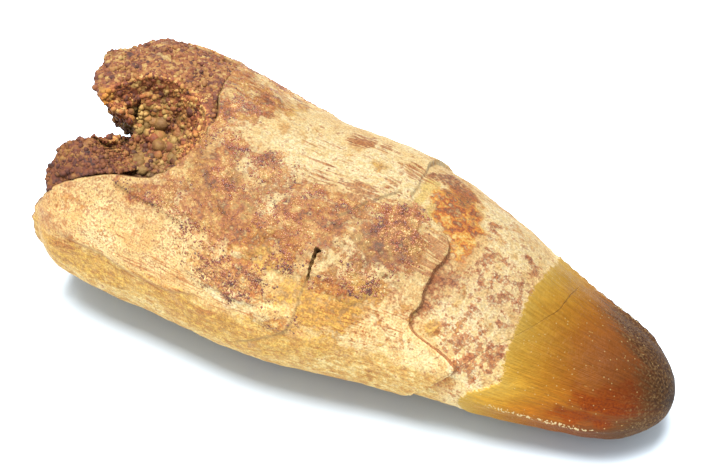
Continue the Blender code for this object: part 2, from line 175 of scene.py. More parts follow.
@dataclass
class Grit:
    """Repeatable roughness in space: smooth waves and round grains, from one shuffled table."""

    seed: int
    order: Array = field(init=False)
    slopes: Array = field(init=False)
    scatter: Array = field(init=False)

    def __post_init__(self) -> None:
        """Shuffles the table and draws a slope and a place for each of its entries."""
        draw = np.random.default_rng(self.seed)
        self.order = draw.permutation(256)
        slopes = draw.normal(size=(256, 3))
        self.slopes = slopes / np.linalg.norm(slopes, axis=1, keepdims=True)
        self.scatter = draw.random((256, 3))

    def pick(self, cells: Array) -> Array:
        """A table entry for each cell of space, from its three whole coordinates in turn."""
        x, y, z = np.moveaxis(cells & 255, -1, 0)
        return self.order[(self.order[(self.order[x] + y) & 255] + z) & 255]

    def waves(self, points: Array, size: float) -> Array:
        """Gradient noise: each cell corner's slope read at the point, blended by a quintic fade.

        Args:
            points: Points in space, in millimetres.
            size: The size of the waves, in millimetres.

        Returns:
            A value between about -1 and 1 at each point.
        """
        scaled = points / size
        cell = np.floor(scaled).astype(np.int64)
        inside = scaled - cell
        fade = inside**3 * (inside * (inside * 6 - 15) + 10)
        total = np.zeros(points.shape[:-1])
        for corner in np.ndindex(2, 2, 2):
            step = np.array(corner)
            slope = self.slopes[self.pick(cell + step)]
            weight = np.prod(np.where(step == 1, fade, 1 - fade), axis=-1)
            total += weight * np.sum((inside - step) * slope, axis=-1)
        return total * 1.7

    def layers(self, points: Array, size: float, count: int) -> Array:
        """Waves of a size, of half that size at half the height, and so on, added up.

        Args:
            points: Points in space, in millimetres.
            size: The size of the largest waves.
            count: How many sizes there are.

        Returns:
            A value between about -1 and 1 at each point.
        """
        shares = 0.5 ** np.arange(count)
        shifted = (points + 37.0 * i for i in range(count))
        waves = [share * self.waves(p, size * share) for share, p in zip(shares, shifted)]
        return np.sum(waves, axis=0) / shares.sum() * 1.3

    def rough(self, kind: Rough, points: Array, weight: Array | float = 1.0) -> Array:
        """The layers of waves of one roughness.

        Args:
            kind: The roughness.
            points: Points in space, in millimetres.
            weight: What its height is multiplied by.

        Returns:
            The height at each point.
        """
        return weight * kind.height * self.layers(points + kind.shift, kind.size, kind.count)

    def grains(self, points: Array, size: float) -> tuple[Array, Array]:
        """Round grains packed in space: a scattered seed in each cell, and the nearest one counts.

        Args:
            points: Points in space, in millimetres.
            size: The size of a cell, in millimetres.

        Returns:
            The distance to the nearest seed as a share of the cell, and that seed's draw, 0 to 1.
        """
        scaled = points / size
        cell = np.floor(scaled).astype(np.int64)
        inside = scaled - cell
        best = np.full(points.shape[:-1], 9.0)
        draw = np.zeros(points.shape[:-1])
        for corner in np.ndindex(3, 3, 3):
            step = np.array(corner) - 1
            entry = self.pick(cell + step)
            away = np.linalg.norm(inside - step - self.scatter[entry], axis=-1)
            draw = np.where(away < best, entry / 255, draw)
            best = np.minimum(away, best)
        return best, draw


@dataclass(frozen=True)
class Patch:
    """A patch on the tooth: its middle, half length, half width and strength."""

    station: float
    girth: float
    length: float
    width: float
    strength: float = 1.0


@dataclass
class Skin:
    """A closed surface over rings of points, ended by a fan to a pole at each end."""

    rings: Array
    first_pole: Array
    last_pole: Array

    def points(self) -> Array:
        """All points: the rings in order, and then the two poles."""
        return np.concatenate([self.rings.reshape(-1, 3), [self.first_pole], [self.last_pole]])

    def corners(self) -> tuple[Array, Array]:
        """The faces as corner numbers: a quad between each two rings and columns, wound outwards,
        and a fan at each pole.

        Returns:
            The quads, four corners each, and the triangles, three corners each.
        """
        rows, columns = self.rings.shape[:2]
        index = np.arange(rows * columns).reshape(rows, columns)
        upper, lower = index[:-1], index[1:]
        quads = np.stack([upper, lower, np.roll(lower, -1, 1), np.roll(upper, -1, 1)], axis=-1)
        first, last = np.full(columns, rows * columns), np.full(columns, rows * columns + 1)
        top = np.stack([first, index[0], np.roll(index[0], -1)], axis=-1)
        end = np.stack([last, np.roll(index[-1], -1), index[-1]], axis=-1)
        return quads.reshape(-1, 4), np.concatenate([top, end])

    def build(self, name: str, sharp: float) -> bpy.types.Object:
        """Makes the mesh, smooth but for edges sharper than the given angle.

        Args:
            name: The piece's name.
            sharp: The angle in degrees past which an edge stays sharp.

        Returns:
            The new object, riding on the tooth's body.
        """
        quads, triangles = self.corners()
        return build_piece(name, self.points(), [quads, triangles], sharp)

    def mark(self, piece: bpy.types.Object, mark: Mark, values: Array) -> None:
        """Gives each ring point its value, and each pole the mean of the ring beside it.

        Args:
            piece: The skin's piece.
            mark: The mark that is stored.
            values: A number or a vector for each ring and column.
        """
        rows, columns = self.rings.shape[:2]
        full = np.broadcast_to(values, (rows, columns) + values.shape[2:])
        tail = values.shape[2:]
        flat = full.reshape((rows * columns,) + tail)
        poles = np.stack([full[0].mean(axis=0), full[-1].mean(axis=0)])
        mark_piece(piece, mark, np.concatenate([flat, poles]))


def build_piece(
    name: str, points: Array, groups: Sequence[Array], sharp: float
) -> bpy.types.Object:
    """Makes a mesh piece from points in millimetres and groups of faces with equal corner counts.

    Args:
        name: The piece's name.
        points: Its points, by station, side and height.
        groups: Arrays of corner numbers, one row for each face.
        sharp: The angle in degrees past which an edge stays sharp.

    Returns:
        The new object, riding on the tooth's body.
    """
    mesh = bpy.data.meshes.new(name)
    mesh.vertices.add(len(points))
    mesh.vertices.foreach_set("co", ((points - MIDDLE) * MM).astype(np.float32).ravel())
    sizes = np.concatenate([np.full(len(group), group.shape[1]) for group in groups])
    mesh.loops.add(int(sizes.sum()))
    flat = np.concatenate([group.ravel() for group in groups]).astype(np.int32)
    mesh.loops.foreach_set("vertex_index", flat)
    mesh.polygons.add(len(sizes))
    starts = np.concatenate([[0], np.cumsum(sizes)[:-1]]).astype(np.int32)
    mesh.polygons.foreach_set("loop_start", starts)
    mesh.update(calc_edges=True)
    mesh.validate()
    mesh.shade_smooth()
    mesh.set_sharp_from_angle(angle=math.radians(sharp))
    piece = bpy.data.objects.new(name, mesh)
    bpy.context.scene.collection.objects.link(piece)
    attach(piece, BODY)
    LOG.info("%s: %d points, %d faces", name, len(points), len(sizes))
    return piece


def mark_piece(piece: bpy.types.Object, mark: Mark, values: Array) -> None:
    """Stores a mark's values in a piece.

    Args:
        piece: The piece.
        mark: The mark.
        values: A number, or a vector, for each of the piece's points.
    """
    kind, key = ("FLOAT_VECTOR", "vector") if values.ndim == 2 else ("FLOAT", "value")
    layer = piece.data.attributes.new(mark.value, kind, "POINT")
    layer.data.foreach_set(key, values.astype(np.float32).ravel())


@dataclass
class ToothForm:
    """The tooth's sections and the lines that run round it, as in the part's source."""

    length: float = 58.0
    stations: tuple = (0.0, 6.0, 13.0, 20.0, 27.0, 32.0, 36.0, 41.0, 46.0, 51.0, 58.0)
    half_widths: tuple = (11.5, 12.2, 12.05, 11.65, 11.3, 10.65, 9.85, 8.85, 7.2, 5.9, 4.7)
    bend_stations: tuple = (0.0, 10.0, 22.0, 34.0, 46.0, 58.0)
    bends: tuple = (0.0, -0.5, -1.4, -0.5, -1.15, -0.75)
    height_stations: tuple = (0.0, 20.0, 40.0, 58.0)
    height_shares: tuple = (0.78, 0.77, 0.80, 0.86)
    girth_power: float = 0.94
    tip_rounding: float = 6.6
    base_rounding: float = 2.6
    base_tuck: float = 0.1
    base_tuck_power: float = 2.2
    layer: float = 0.45
    flat_station: float = 20.0
    flat_depth: float = 0.22
    tip_lift: float = 0.5
    base_lift: float = 0.4
    ledge_angles: tuple = (
        0, 43, 73, 81, 86, 90, 94, 100, 105, 109, 116, 125, 130, 138, 144, 148, 151, 156, 160, 168,
        179, 198, 250, 310, 360,
    )
    ledge_reach: tuple = (
        32.5, 30.7, 31.3, 31.4, 33.4, 35.1, 36.3, 36.8, 36.6, 36.4, 36.3, 36.3, 36.5, 36.0, 36.1,
        36.8, 38.3, 40.2, 40.9, 40.3, 39.2, 37.1, 33.8, 34.6, 32.5,
    )
    enamel_angles: tuple = (0, 55, 90, 130, 157, 168, 179, 195, 230, 290, 360)
    enamel_reach: tuple = (43.0, 44.3, 44.2, 44.4, 44.6, 43.5, 41.9, 41.2, 43.2, 44.0, 43.0)
    crack_angles: tuple = (0, 60, 81, 90, 96, 102, 107, 116, 124, 130, 137, 147, 159, 170, 176, 183,
                           189, 230, 300, 360)
    crack_reach: tuple = (27.0, 28.6, 30.4, 29.3, 28.3, 27.7, 26.8, 26.7, 26.7, 26.7, 26.8, 26.6,
                          26.5, 25.9, 24.7, 22.8, 21.4, 22.5, 25.0, 27.0)
    crown_crack_angles: tuple = (0, 58, 85, 101, 124, 142, 160, 178, 230, 360)
    crown_crack_reach: tuple = (46.5, 47.0, 46.9, 46.1, 44.4, 42.7, 41.0, 39.3, 40.0, 46.5)
    rim_angles: tuple = (
        0, 12, 20, 28, 34, 40, 53, 66, 74, 80, 86, 97, 103, 108, 114, 120, 124, 127, 130, 135,
        141, 148, 156, 166, 178, 196, 220, 250, 290, 330, 360,
    )
    rim_reach: tuple = (
        1.0, 0.7, 1.4, 4.6, 8.2, 10.2, 10.7, 11.2, 11.7, 12.3, 12.8, 12.9, 12.7, 12.3, 11.8, 10.9,
        9.9, 8.1, 6.5, 4.6, 2.9, 1.4, 0.7, -0.2, -0.45, -0.45, 0.4, 0.2, 0.8, 0.2, 1.0,
    )
    wall_at_base: float = 1.6
    wall_deep: float = 2.4
    cavity_depth: float = 27.0
    cavity_power: int = 3
    patch_edge: tuple = (0.5, 1.3)

    def section(self, station: Array) -> tuple[Array, Array, Array, Array]:
        """The size and the place of the tooth's core: curves over the station, with the centre's
        height worked out so that the core's underside lies level but for a little lift at the ends.

        Args:
            station: The station of each place.

        Returns:
            The half width, the half height, and the centre's sideways place and height.
        """
        half_width = smooth_curve(self.stations, self.half_widths, station)
        half_height = half_width * np.interp(station, self.height_stations, self.height_shares)
        past = (station - self.flat_station) / (self.length - self.flat_station)
        short = (self.flat_station - station) / self.flat_station
        lift = np.where(past > 0, self.tip_lift * past**2, self.base_lift * short**2)
        centre_y = smooth_curve(self.bend_stations, self.bends, station)
        centre_z = half_height + self.layer - self.flat_depth + lift
        return half_width, half_height, centre_y, centre_z

    def end_rounding(self, station: Array) -> Array:
        """How the ends close: a quarter ellipse at the tip, and a slight tuck at the base.

        Args:
            station: The station of each place.

        Returns:
            The share of the section that is left there.
        """
        past = np.clip((station - self.length + self.tip_rounding) / self.tip_rounding, 0, 1)
        left = np.clip(1 - station / self.base_rounding, 0, 1)
        tuck = self.base_tuck * left**self.base_tuck_power
        return np.sqrt(1 - past**2) * (1 - tuck)

    def on_section(
        self, station: Array, girth: Array, relief: Array | float, share: Array | None = None
    ) -> Array:
        """The points of a rounded section, its outline moved out by the relief.

        Args:
            station: The station of each point.
            girth: Its girth angle.
            relief: How far it stands out from the core, in millimetres.
            share: The share of the section that is left, or the ends' own rounding.

        Returns:
            The points, as (station, side, height).
        """
        half_width, half_height, centre_y, centre_z = self.section(station)
        share = self.end_rounding(station) if share is None else share
        cosine, sine = np.cos(np.radians(girth)), np.sin(np.radians(girth))
        across = np.sign(cosine) * np.abs(cosine) ** self.girth_power
        upward = np.sign(sine) * np.abs(sine) ** self.girth_power
        y = centre_y + (half_width * share + relief) * across
        z = centre_z + (half_height * share + relief) * upward
        return np.stack([station + 0 * y, y, z], axis=-1)

    def on_cavity(self, station: Array, girth: Array, gap: float) -> Array:
        """Points on the wall of the pulp cavity, or inside it by a gap: the outline less the wall,
        times the root of 1 - (station / depth)^3.

        Args:
            station: The station of each point.
            girth: Its girth angle.
            gap: How far inside the wall it lies, in millimetres.

        Returns:
            The points, as (station, side, height).
        """
        half_width = self.section(station)[0]
        rise = soft_step(0, self.cavity_depth, station)
        wall = self.wall_at_base + (self.wall_deep - self.wall_at_base) * rise
        deep = np.clip(station, 0, None) / self.cavity_depth
        left = np.clip(1 - deep**self.cavity_power, 0, 1)
        share = np.sqrt(left) * (half_width - wall) / half_width
        return self.on_section(station, girth, -gap, share)

    def cover(
        self, station: Array, girth: Array, patches: Sequence[Patch], wander: Array
    ) -> Array:
        """How far patches cover a place: each is a soft-edged ellipse laid on the surface, whose
        edge the wander moves in and out.

        Args:
            station: The station of each place.
            girth: Its girth angle.
            patches: The patches.
            wander: What is added to the share of the way to a patch's edge.

        Returns:
            The strongest patch's cover at each place, 0 to 1.
        """
        half_width = self.section(station)[0]
        cover = np.zeros(np.broadcast(station, girth).shape)
        for patch in patches:
            along = station - patch.station
            around = np.radians(turn_from(girth, patch.girth)) * half_width * MEAN_RADIUS
            share = np.hypot(along / patch.length, around / patch.width) + wander
            cover = np.maximum(cover, patch.strength * (1 - soft_step(*self.patch_edge, share)))
        return cover


@dataclass
class Bench:
    """Adds and links the shader nodes of one finish."""

    name: str
    material: bpy.types.Material = field(init=False)
    tree: Any = field(init=False)
    shader: Any = field(init=False)
    place: Any = field(init=False)

    def __post_init__(self) -> None:
        """Starts the finish with a shader, an output and the object's own place in millimetres."""
        self.material = bpy.data.materials.new(self.name)
        self.material.use_nodes = True
        self.tree = self.material.node_tree
        self.tree.nodes.clear()
        self.shader = self.tree.nodes.new("ShaderNodeBsdfPrincipled")
        output = self.tree.nodes.new("ShaderNodeOutputMaterial")
        self.tree.links.new(self.shader.outputs[0], output.inputs["Surface"])
        coordinates = self.tree.nodes.new("ShaderNodeTexCoord")
        scale = self.tree.nodes.new("ShaderNodeVectorMath")
        scale.operation = "SCALE"
        scale.inputs["Scale"].default_value = 1 / MM
        self.tree.links.new(coordinates.outputs["Object"], scale.inputs[0])
        self.place = scale.outputs[0]

    def feed(self, socket: Socket, value: Any) -> None:
        """Links a socket to the value, or sets it where the value is a number or a colour.

        Args:
            socket: The socket that takes the value.
            value: Another node's output, a number or a colour.
        """
        if isinstance(value, bpy.types.NodeSocket):
            self.tree.links.new(value, socket)
        else:
            socket.default_value = value

    def dress(self, name: str, value: Any) -> None:
        """Feeds the shader's own input of that name."""
        self.feed(self.shader.inputs[name], value)

    def math(self, operation: str, first: Any, second: Any = 0.0) -> Socket:
        """One sum, product or other operation on two numbers.

        Args:
            operation: The operation's name.
            first: The first number.
            second: The second number, where the operation takes two.

        Returns:
            The result.
        """
        node = self.tree.nodes.new("ShaderNodeMath")
        node.operation = operation
        self.feed(node.inputs[0], first)
        self.feed(node.inputs[1], second)
        return node.outputs[0]

    def times(self, first: Any, *others: Any) -> Socket:
        """The product of all the numbers."""
        return reduce(partial(self.math, "MULTIPLY"), others, first)

    def plus(self, first: Any, *others: Any) -> Socket:
        """The sum of all the numbers."""
        return reduce(partial(self.math, "ADD"), others, first)

    def blend(self, *parts: tuple[Any, float]) -> Socket:
        """The sum of numbers, each times its own weight."""
        return self.plus(*(self.times(number, weight) for number, weight in parts))

    def centred(self, noise: Any) -> Socket:
        """Noise moved down by a half, so that it goes to both sides of 0."""
        return self.math("SUBTRACT", noise, 0.5)

    def size_of(self, value: Any) -> Socket:
        """A number without its sign."""
        return self.math("ABSOLUTE", value)

    def stretched(self, vector: Any, along: float) -> Socket:
        """The vector with its first coordinate scaled, which draws a pattern out along the tooth.

        Args:
            vector: The vector.
            along: What its first coordinate is multiplied by.

        Returns:
            The scaled vector.
        """
        node = self.tree.nodes.new("ShaderNodeVectorMath")
        node.operation = "MULTIPLY"
        self.feed(node.inputs[0], vector)
        node.inputs[1].default_value = (along, 1.0, 1.0)
        return node.outputs[0]

    def noise(self, size: float, detail: float = 3.0, where: Any = None) -> Socket:
        """Smooth noise from 0 to 1 with features of the given size in millimetres.

        Args:
            size: The size of the largest features.
            detail: How many finer layers are added.
            where: The place that it reads, or the object's own.

        Returns:
            The noise's number.
        """
        node = self.tree.nodes.new("ShaderNodeTexNoise")
        self.feed(node.inputs["Vector"], self.place if where is None else where)
        node.inputs["Scale"].default_value = 1 / size
        node.inputs["Detail"].default_value = detail
        node.inputs["Roughness"].default_value = FINER_LAYERS
        return node.outputs[0]

    def cells(self, size: float, where: Any = None) -> tuple[Socket, Socket]:
        """Grains of the given size in millimetres.

        Args:
            size: The size of a grain.
            where: The place that it reads, or the object's own.

        Returns:
            The distance to the middle of the nearest grain, and a draw of that grain's own, 0 to 1.
        """
        node = self.tree.nodes.new("ShaderNodeTexVoronoi")
        self.feed(node.inputs["Vector"], self.place if where is None else where)
        node.inputs["Scale"].default_value = 1 / size
        node.inputs["Randomness"].default_value = 1.0
        split = self.tree.nodes.new("ShaderNodeSeparateColor")
        self.tree.links.new(node.outputs["Color"], split.inputs[0])
        return node.outputs["Distance"], split.outputs[0]

    def mark(self, mark: Mark, output: str = "Fac") -> Socket:
        """What a mark gives at the surface.

        Args:
            mark: The mark.
            output: "Fac" for a mark that is a number, or "Vector".

        Returns:
            The mark's number or vector.
        """
        node = self.tree.nodes.new("ShaderNodeAttribute")
        node.attribute_name = mark.value
        return node.outputs[output]

    def band(self, value: Any, low: float, high: float) -> Socket:
        """A smooth rise from 0 at low to 1 at high, or a fall where low is above high.

        Args:
            value: The number that is looked at.
            low: Where the result is 0.
            high: Where the result is 1.

        Returns:
            The result, 0 to 1.
        """
        node = self.tree.nodes.new("ShaderNodeMapRange")
        node.interpolation_type = "SMOOTHSTEP"
        self.feed(node.inputs["Value"], value)
        if low < high:
            edges, ends = (low, high), (0.0, 1.0)
        else:
            edges, ends = (high, low), (1.0, 0.0)
        node.inputs["From Min"].default_value, node.inputs["From Max"].default_value = edges
        node.inputs["To Min"].default_value, node.inputs["To Max"].default_value = ends
        return node.outputs["Result"]

    def ragged(self, mark: Any, grit: Any, pull: float, low: float, high: float) -> Socket:
        """A patch's cover with a ragged edge: the mark, moved by the grit, then a smooth rise, and
        nothing where there is no mark at all.

        Args:
            mark: The patch's own soft cover.
            grit: The noise that moves its edge.
            pull: How far the noise moves it.
            low: The moved mark's value at which the cover begins.
            high: Its value at which the cover is full.

        Returns:
            The cover, 0 to 1.
        """
        moved = self.plus(mark, self.times(self.centred(grit), pull))
        return self.times(self.band(moved, low, high), self.band(mark, *MARKED))

    def ramp(self, share: Any, stops: Stops) -> Any:
        """A colour from a row of stops, each a share and a hex colour.

        Args:
            share: Where on the row the colour is read.
            stops: The stops, in rising order.

        Returns:
            The colour, which is a plain one where there is only one stop.
        """
        if len(stops) == 1:
            return colour_of(stops[0][1])
        node = self.tree.nodes.new("ShaderNodeValToRGB")
        elements = node.color_ramp.elements
        while len(elements) < len(stops):
            elements.new(0.5)
        for element, (where, colour) in zip(elements, stops):
            element.position = where
            element.color = colour_of(colour)
        self.feed(node.inputs[0], share)
        return node.outputs[0]

    def mix(self, share: Any, first: Any, second: Any, how: str = "MIX") -> Socket:
        """Two colours blended.

        Args:
            share: 0 for the first colour alone, and 1 for the second in full.
            first: The first colour.
            second: The second colour.
            how: The way of blending.

        Returns:
            The blended colour.
        """
        node = self.tree.nodes.new("ShaderNodeMix")
        node.data_type = "RGBA"
        node.blend_type = how
        self.feed(node.inputs[0], share)
        self.feed(node.inputs[6], first)
        self.feed(node.inputs[7], second)
        return node.outputs[2]

    def tinted(self, colour: Any, tint: Any) -> Socket:
        """A colour multiplied by another."""
        return self.mix(1.0, colour, tint, "MULTIPLY")

    def lay(self, colour: Any, over: Any, cover: Any, strength: float = 1.0) -> Socket:
        """One colour laid over another, as far as a cover and its strength say."""
        return self.mix(cover if strength == 1 else self.times(cover, strength), colour, over)

    def between(self, share: Any, first: Any, second: Any) -> Socket:
        """A number between two.

        Args:
            share: 0 for the first number and 1 for the second.
            first: The first number.
            second: The second number.

        Returns:
            The number.
        """
        node = self.tree.nodes.new("ShaderNodeMix")
        self.feed(node.inputs[0], share)
        self.feed(node.inputs[2], first)
        self.feed(node.inputs[3], second)
        return node.outputs[0]

    def grey(self, value: Any, edges: tuple[float, float], levels: tuple[float, float]) -> Socket:
        """A grey to multiply a colour by, which follows a value.

        Args:
            value: The number that it follows.
            edges: The value's lower and upper limit.
            levels: The grey at each of them.

        Returns:
            The grey, as a colour.
        """
        node = self.tree.nodes.new("ShaderNodeMapRange")
        self.feed(node.inputs["Value"], value)
        node.inputs["From Min"].default_value, node.inputs["From Max"].default_value = edges
        node.inputs["To Min"].default_value, node.inputs["To Max"].default_value = levels
        joined = self.tree.nodes.new("ShaderNodeCombineColor")
        for socket in joined.inputs[:3]:
            self.tree.links.new(node.outputs["Result"], socket)
        return joined.outputs[0]

    def bump(self, height: Any, distance: float, strength: float) -> None:
        """Roughens the shader's surface by a height.

        Args:
            height: The height, 0 to 1.
            distance: What a height of 1 stands for, in millimetres.
            strength: How strongly it tells.
        """
        node = self.tree.nodes.new("ShaderNodeBump")
        node.inputs["Strength"].default_value = strength
        node.inputs["Distance"].default_value = distance * MM
        self.feed(node.inputs["Height"], height)
        self.dress("Normal", node.outputs[0])


def colour_of(
    text: str, share: tuple[float, float, float] = SEEN_SHARE
) -> tuple[float, float, float, float]:
    """A hex colour, as seen in the studio's light, as the linear numbers that a shader takes.

    Args:
        text: The colour as it is seen.
        share: How much of its red, green and blue the surface itself gives back.

    Returns:
        The shader's red, green, blue and alpha.
    """
    values = [int(text[i : i + 2], 16) / 255 for i in (1, 3, 5)]
    linear = [v / 12.92 if v <= 0.04045 else ((v + 0.055) / 1.055) ** 2.4 for v in values]
    return (linear[0] * share[0], linear[1] * share[1], linear[2] * share[2], 1.0)


@dataclass(frozen=True)
class SandTones:
    """The colours of sand: red-brown through orange and honey to cream, in drifts of a millimetre
    or two, with an ochre tint in places."""

    tones: Stops = (
        (0.0, "#6a2c14"), (0.18, "#944624"), (0.33, "#b46230"), (0.47, "#c48044"),
        (0.6, "#d49e62"), (0.75, "#e6c088"), (0.92, "#f4dfb8"),
    )
    ochres: Stops = ((0.1, "#8a5a26"), (0.4, "#bd8a3e"), (0.7, "#d9b468"), (0.95, "#f0dca0"))
    drift: float = 2.8

    def colour(self, bench: Bench, draw: Any, medium: Any, small: Any) -> Socket:
        """Adds the colours to a finish.

        Args:
            bench: The finish's nodes.
            draw: A draw of each grain's own, 0 to 1.
            medium: Noise of 1.3 mm.
            small: Noise of 0.5 mm.

        Returns:
            The colour.
        """
        share = bench.plus(bench.blend((draw, 0.36), (medium, 2.4), (small, 1.2)), -1.58)
        tint = bench.band(bench.noise(self.drift), 0.5, 0.66)
        return bench.lay(bench.ramp(share, self.tones), bench.ramp(share, self.ochres), tint, 0.5)


@dataclass(frozen=True)
class Noises:
    """The noises that the tooth's colours share, from broad to fine, and two that are drawn out on
    the way along the tooth."""

    way: Socket
    broad: Socket
    medium: Socket
    small: Socket
    fine: Socket
    streak: Socket
    thread: Socket

    @classmethod
    def on(cls, bench: Bench) -> "Noises":
        """Adds the noises to a finish.

        Args:
            bench: The finish's nodes.

        Returns:
            The noises.
        """
        way = bench.mark(Mark.WAY, "Vector")
        return cls(
            way=way,
            broad=bench.noise(5.0),
            medium=bench.noise(1.3, 4),
            small=bench.noise(0.5),
            fine=bench.noise(0.22, 2),
            streak=bench.noise(0.5, 3, bench.stretched(way, 0.38)),
            thread=bench.noise(0.2, 2, bench.stretched(way, 0.07)),
        )


@dataclass(frozen=True)
class Stain:
    """A stain on the root: its mark, how far grit pulls its edge about, the values between which it
    comes in, how strongly it covers, and its colours."""

    mark: Mark
    pull: float
    low: float
    high: float
    strength: float
    colours: Stops


@dataclass(frozen=True)
class ToothFinish:
    """Fossil tooth: cream root with pores, sand and iron stains, amber to dark brown crown."""

    name: str = "fossil_tooth_finish"
    specular: float = 0.25
    crown_specular_loss: float = 0.19
    enamel_border: tuple = (-0.08, 0.16)
    relief: float = 0.16
    relief_strength: float = 0.8
    creams: Stops = ((0.38, "#d4a874"), (0.45, "#e9ca9a"), (0.52, "#f6e2bc"), (0.6, "#fff5dc"))
    inside: Stops = ((0.3, "#6b4127"), (0.7, "#b98555"))
    freckle: str = "#a8562f"
    thick_sand: tuple = (0.64, 0.55, 0.42, 1.0)
    all_sand: tuple = (0.95, 0.9, 0.78, 1.0)
    red_flecks: Stops = ((0.42, "#a25632"), (0.58, "#c88c54"))
    pin_hole: str = "#6a4224"
    crack_sand: Stops = ((0.35, "#6e5740"), (0.65, "#b39a72"))
    shoulder: str = "#c08a58"
    # Painted shade along the foot of the ledge's step
    ledge_foot_shade: str = "#6b3c22"
    hairline: str = "#7a4c28"
    ambers: Stops = (
        (0.0, "#d8b862"), (0.1, "#cfa546"), (0.22, "#bf8a30"), (0.36, "#ae7024"),
        (0.5, "#9e6026"), (0.68, "#8a5028"), (0.9, "#66462e"),
    )
    crown_length: float = 15.0
    # Painted light: the red glow, as of light through the amber enamel
    glows: Stops = ((0.35, "#7c2c00"), (0.65, "#9c4800"))
    tips: Stops = ((0.36, "#402814"), (0.46, "#604228"), (0.55, "#785a40"), (0.64, "#93795c"))
    worn_edge: str = "#f4e7cc"
    # Pale specks and scratches on the enamel: partly its own, partly painted highlights
    speck_and_glint: str = "#ecd8ae"
    scratch_and_glint: str = "#e4c48c"

    def make(self) -> bpy.types.Material:
        """Builds the finish.

        Returns:
            The material for the tooth's skin.
        """
        bench = Bench(self.name)
        noises = Noises.on(bench)
        small, fine = noises.small, noises.fine
        past = bench.plus(
            bench.mark(Mark.PAST_ENAMEL), bench.times(bench.centred(small), 0.8),
            bench.times(bench.centred(fine), 0.9),
        )
        on_crown = bench.band(past, *self.enamel_border)
        root = self.root_colour(bench, noises)
        colour = bench.mix(on_crown, root, self.crown_colour(bench, noises))
        colour = self.crown_crack(bench, colour, small)
        colour = bench.mix(bench.mark(Mark.INSIDE), colour, bench.ramp(small, self.inside))
        # The colour times the painted light and shade
        bench.dress("Base Color", bench.tinted(colour, bench.mark(Mark.SHADE, "Vector")))

        dull = bench.plus(0.62, bench.times(small, 0.22))
        gloss = bench.plus(0.33, bench.times(fine, 0.25), bench.times(bench.mark(Mark.TIP), 0.12))
        bench.dress("Roughness", bench.between(on_crown, dull, gloss))
        loss = bench.times(on_crown, -self.crown_specular_loss)
        bench.dress("Specular IOR Level", bench.plus(self.specular, loss))

        hairline = bench.band(bench.size_of(bench.mark(Mark.FROM_CROWN_CRACK)), 0.07, 0.0)
        height = bench.plus(
            bench.times(fine, 0.35),
            bench.times(small, 0.5),
            bench.times(bench.cells(0.42)[0], bench.mark(Mark.SAND), -0.6),
            bench.times(noises.thread, bench.plus(0.25, on_crown), 0.45),
            bench.times(hairline, bench.mark(Mark.CROWN_CRACK_SHOWS), -0.4),
        )
        bench.bump(height, self.relief, self.relief_strength)
        return bench.material

    def stains(self, bench: Bench, noises: Noises) -> list[tuple[Stain, Socket, Socket]]:
        """The root's stains, from the lowest to the topmost; the band in the recess behind the ledge
        is partly painted shade.

        Args:
            bench: The finish's nodes.
            noises: The noises that the colours share.

        Returns:
            Each stain with the grit that breaks up its edge and the noise that its colours follow.
        """
        medium, small, fine, thread = noises.medium, noises.small, noises.fine, noises.thread
        streaked = bench.blend((noises.streak, 0.3), (medium, 0.35), (small, 0.35))
        broken = bench.blend((medium, 0.5), (small, 0.35), (fine, 0.15))
        speckled = bench.plus(bench.blend((medium, 0.6), (small, 0.6)), -0.1)
        clumped = bench.blend((medium, 0.4), (small, 0.3), (fine, 0.3))
        varied = bench.plus(bench.blend((medium, 0.9), (small, 0.9)), -0.4)
        veined = bench.blend((small, 0.4), (thread, 0.6))
        return [
            (Stain(Mark.UNDERSIDE, 2.2, 0.3, 0.9, 0.9, (
                (0.36, "#a06632"), (0.44, "#cc9648"), (0.5, "#e4be74"), (0.57, "#f9e8b8"),
            )), medium, streaked),
            (Stain(Mark.PALE, 2.4, 0.3, 0.9, 1.0, (
                (0.38, "#efdab0"), (0.56, "#fff7e4"),
            )), medium, small),
            (Stain(Mark.MOTTLE, 2.6, 0.62, 0.95, 0.7, (
                (0.38, "#a4583a"), (0.5, "#c48358"), (0.62, "#dba97c"),
            )), speckled, fine),
            (Stain(Mark.OCHRE, 3.2, 0.4, 1.0, 0.8, (
                (0.4, "#a06a22"), (0.5, "#cf9a36"), (0.6, "#ebc664"),
            )), broken, small),
            (Stain(Mark.FILM, 2.2, 0.35, 0.85, 0.75, (
                (0.35, "#dcc068"), (0.65, "#efdc92"),
            )), medium, small),
            (Stain(Mark.BROWN, 6.4, 0.45, 1.0, 0.8, (
                (0.38, "#823c1c"), (0.5, "#a65830"), (0.62, "#c88450"),
            )), clumped, fine),
            # Reddish brown in the recess behind the ledge, darkest against the step as painted shade
            (Stain(Mark.RECESS, 3.4, 0.4, 0.85, 0.85, (
                (0.38, "#86492b"), (0.5, "#ab6b44"), (0.62, "#c98f63"),
            )), broken, fine),
            (Stain(Mark.ORANGE, 3.4, 0.36, 0.85, 0.95, (
                (0.34, "#7c3410"), (0.42, "#b4560e"), (0.5, "#dc8a28"), (0.58, "#eebc5a"),
                (0.68, "#f8e2a6"),
            )), broken, varied),
            (Stain(Mark.DARK_RUST, 4.6, 0.38, 0.95, 0.9, (
                (0.38, "#6a3520"), (0.5, "#97512c"), (0.62, "#c07a45"),
            )), broken, fine),
            (Stain(Mark.STRIPES, 2.6, 0.62, 0.9, 0.7, ((0.0, "#b9713f"),)), thread, fine),
            (Stain(Mark.RUST, 4.2, 0.5, 1.0, 0.8, (
                (0.38, "#97552d"), (0.5, "#b8733f"), (0.62, "#cf965e"),
            )), veined, fine),
        ]

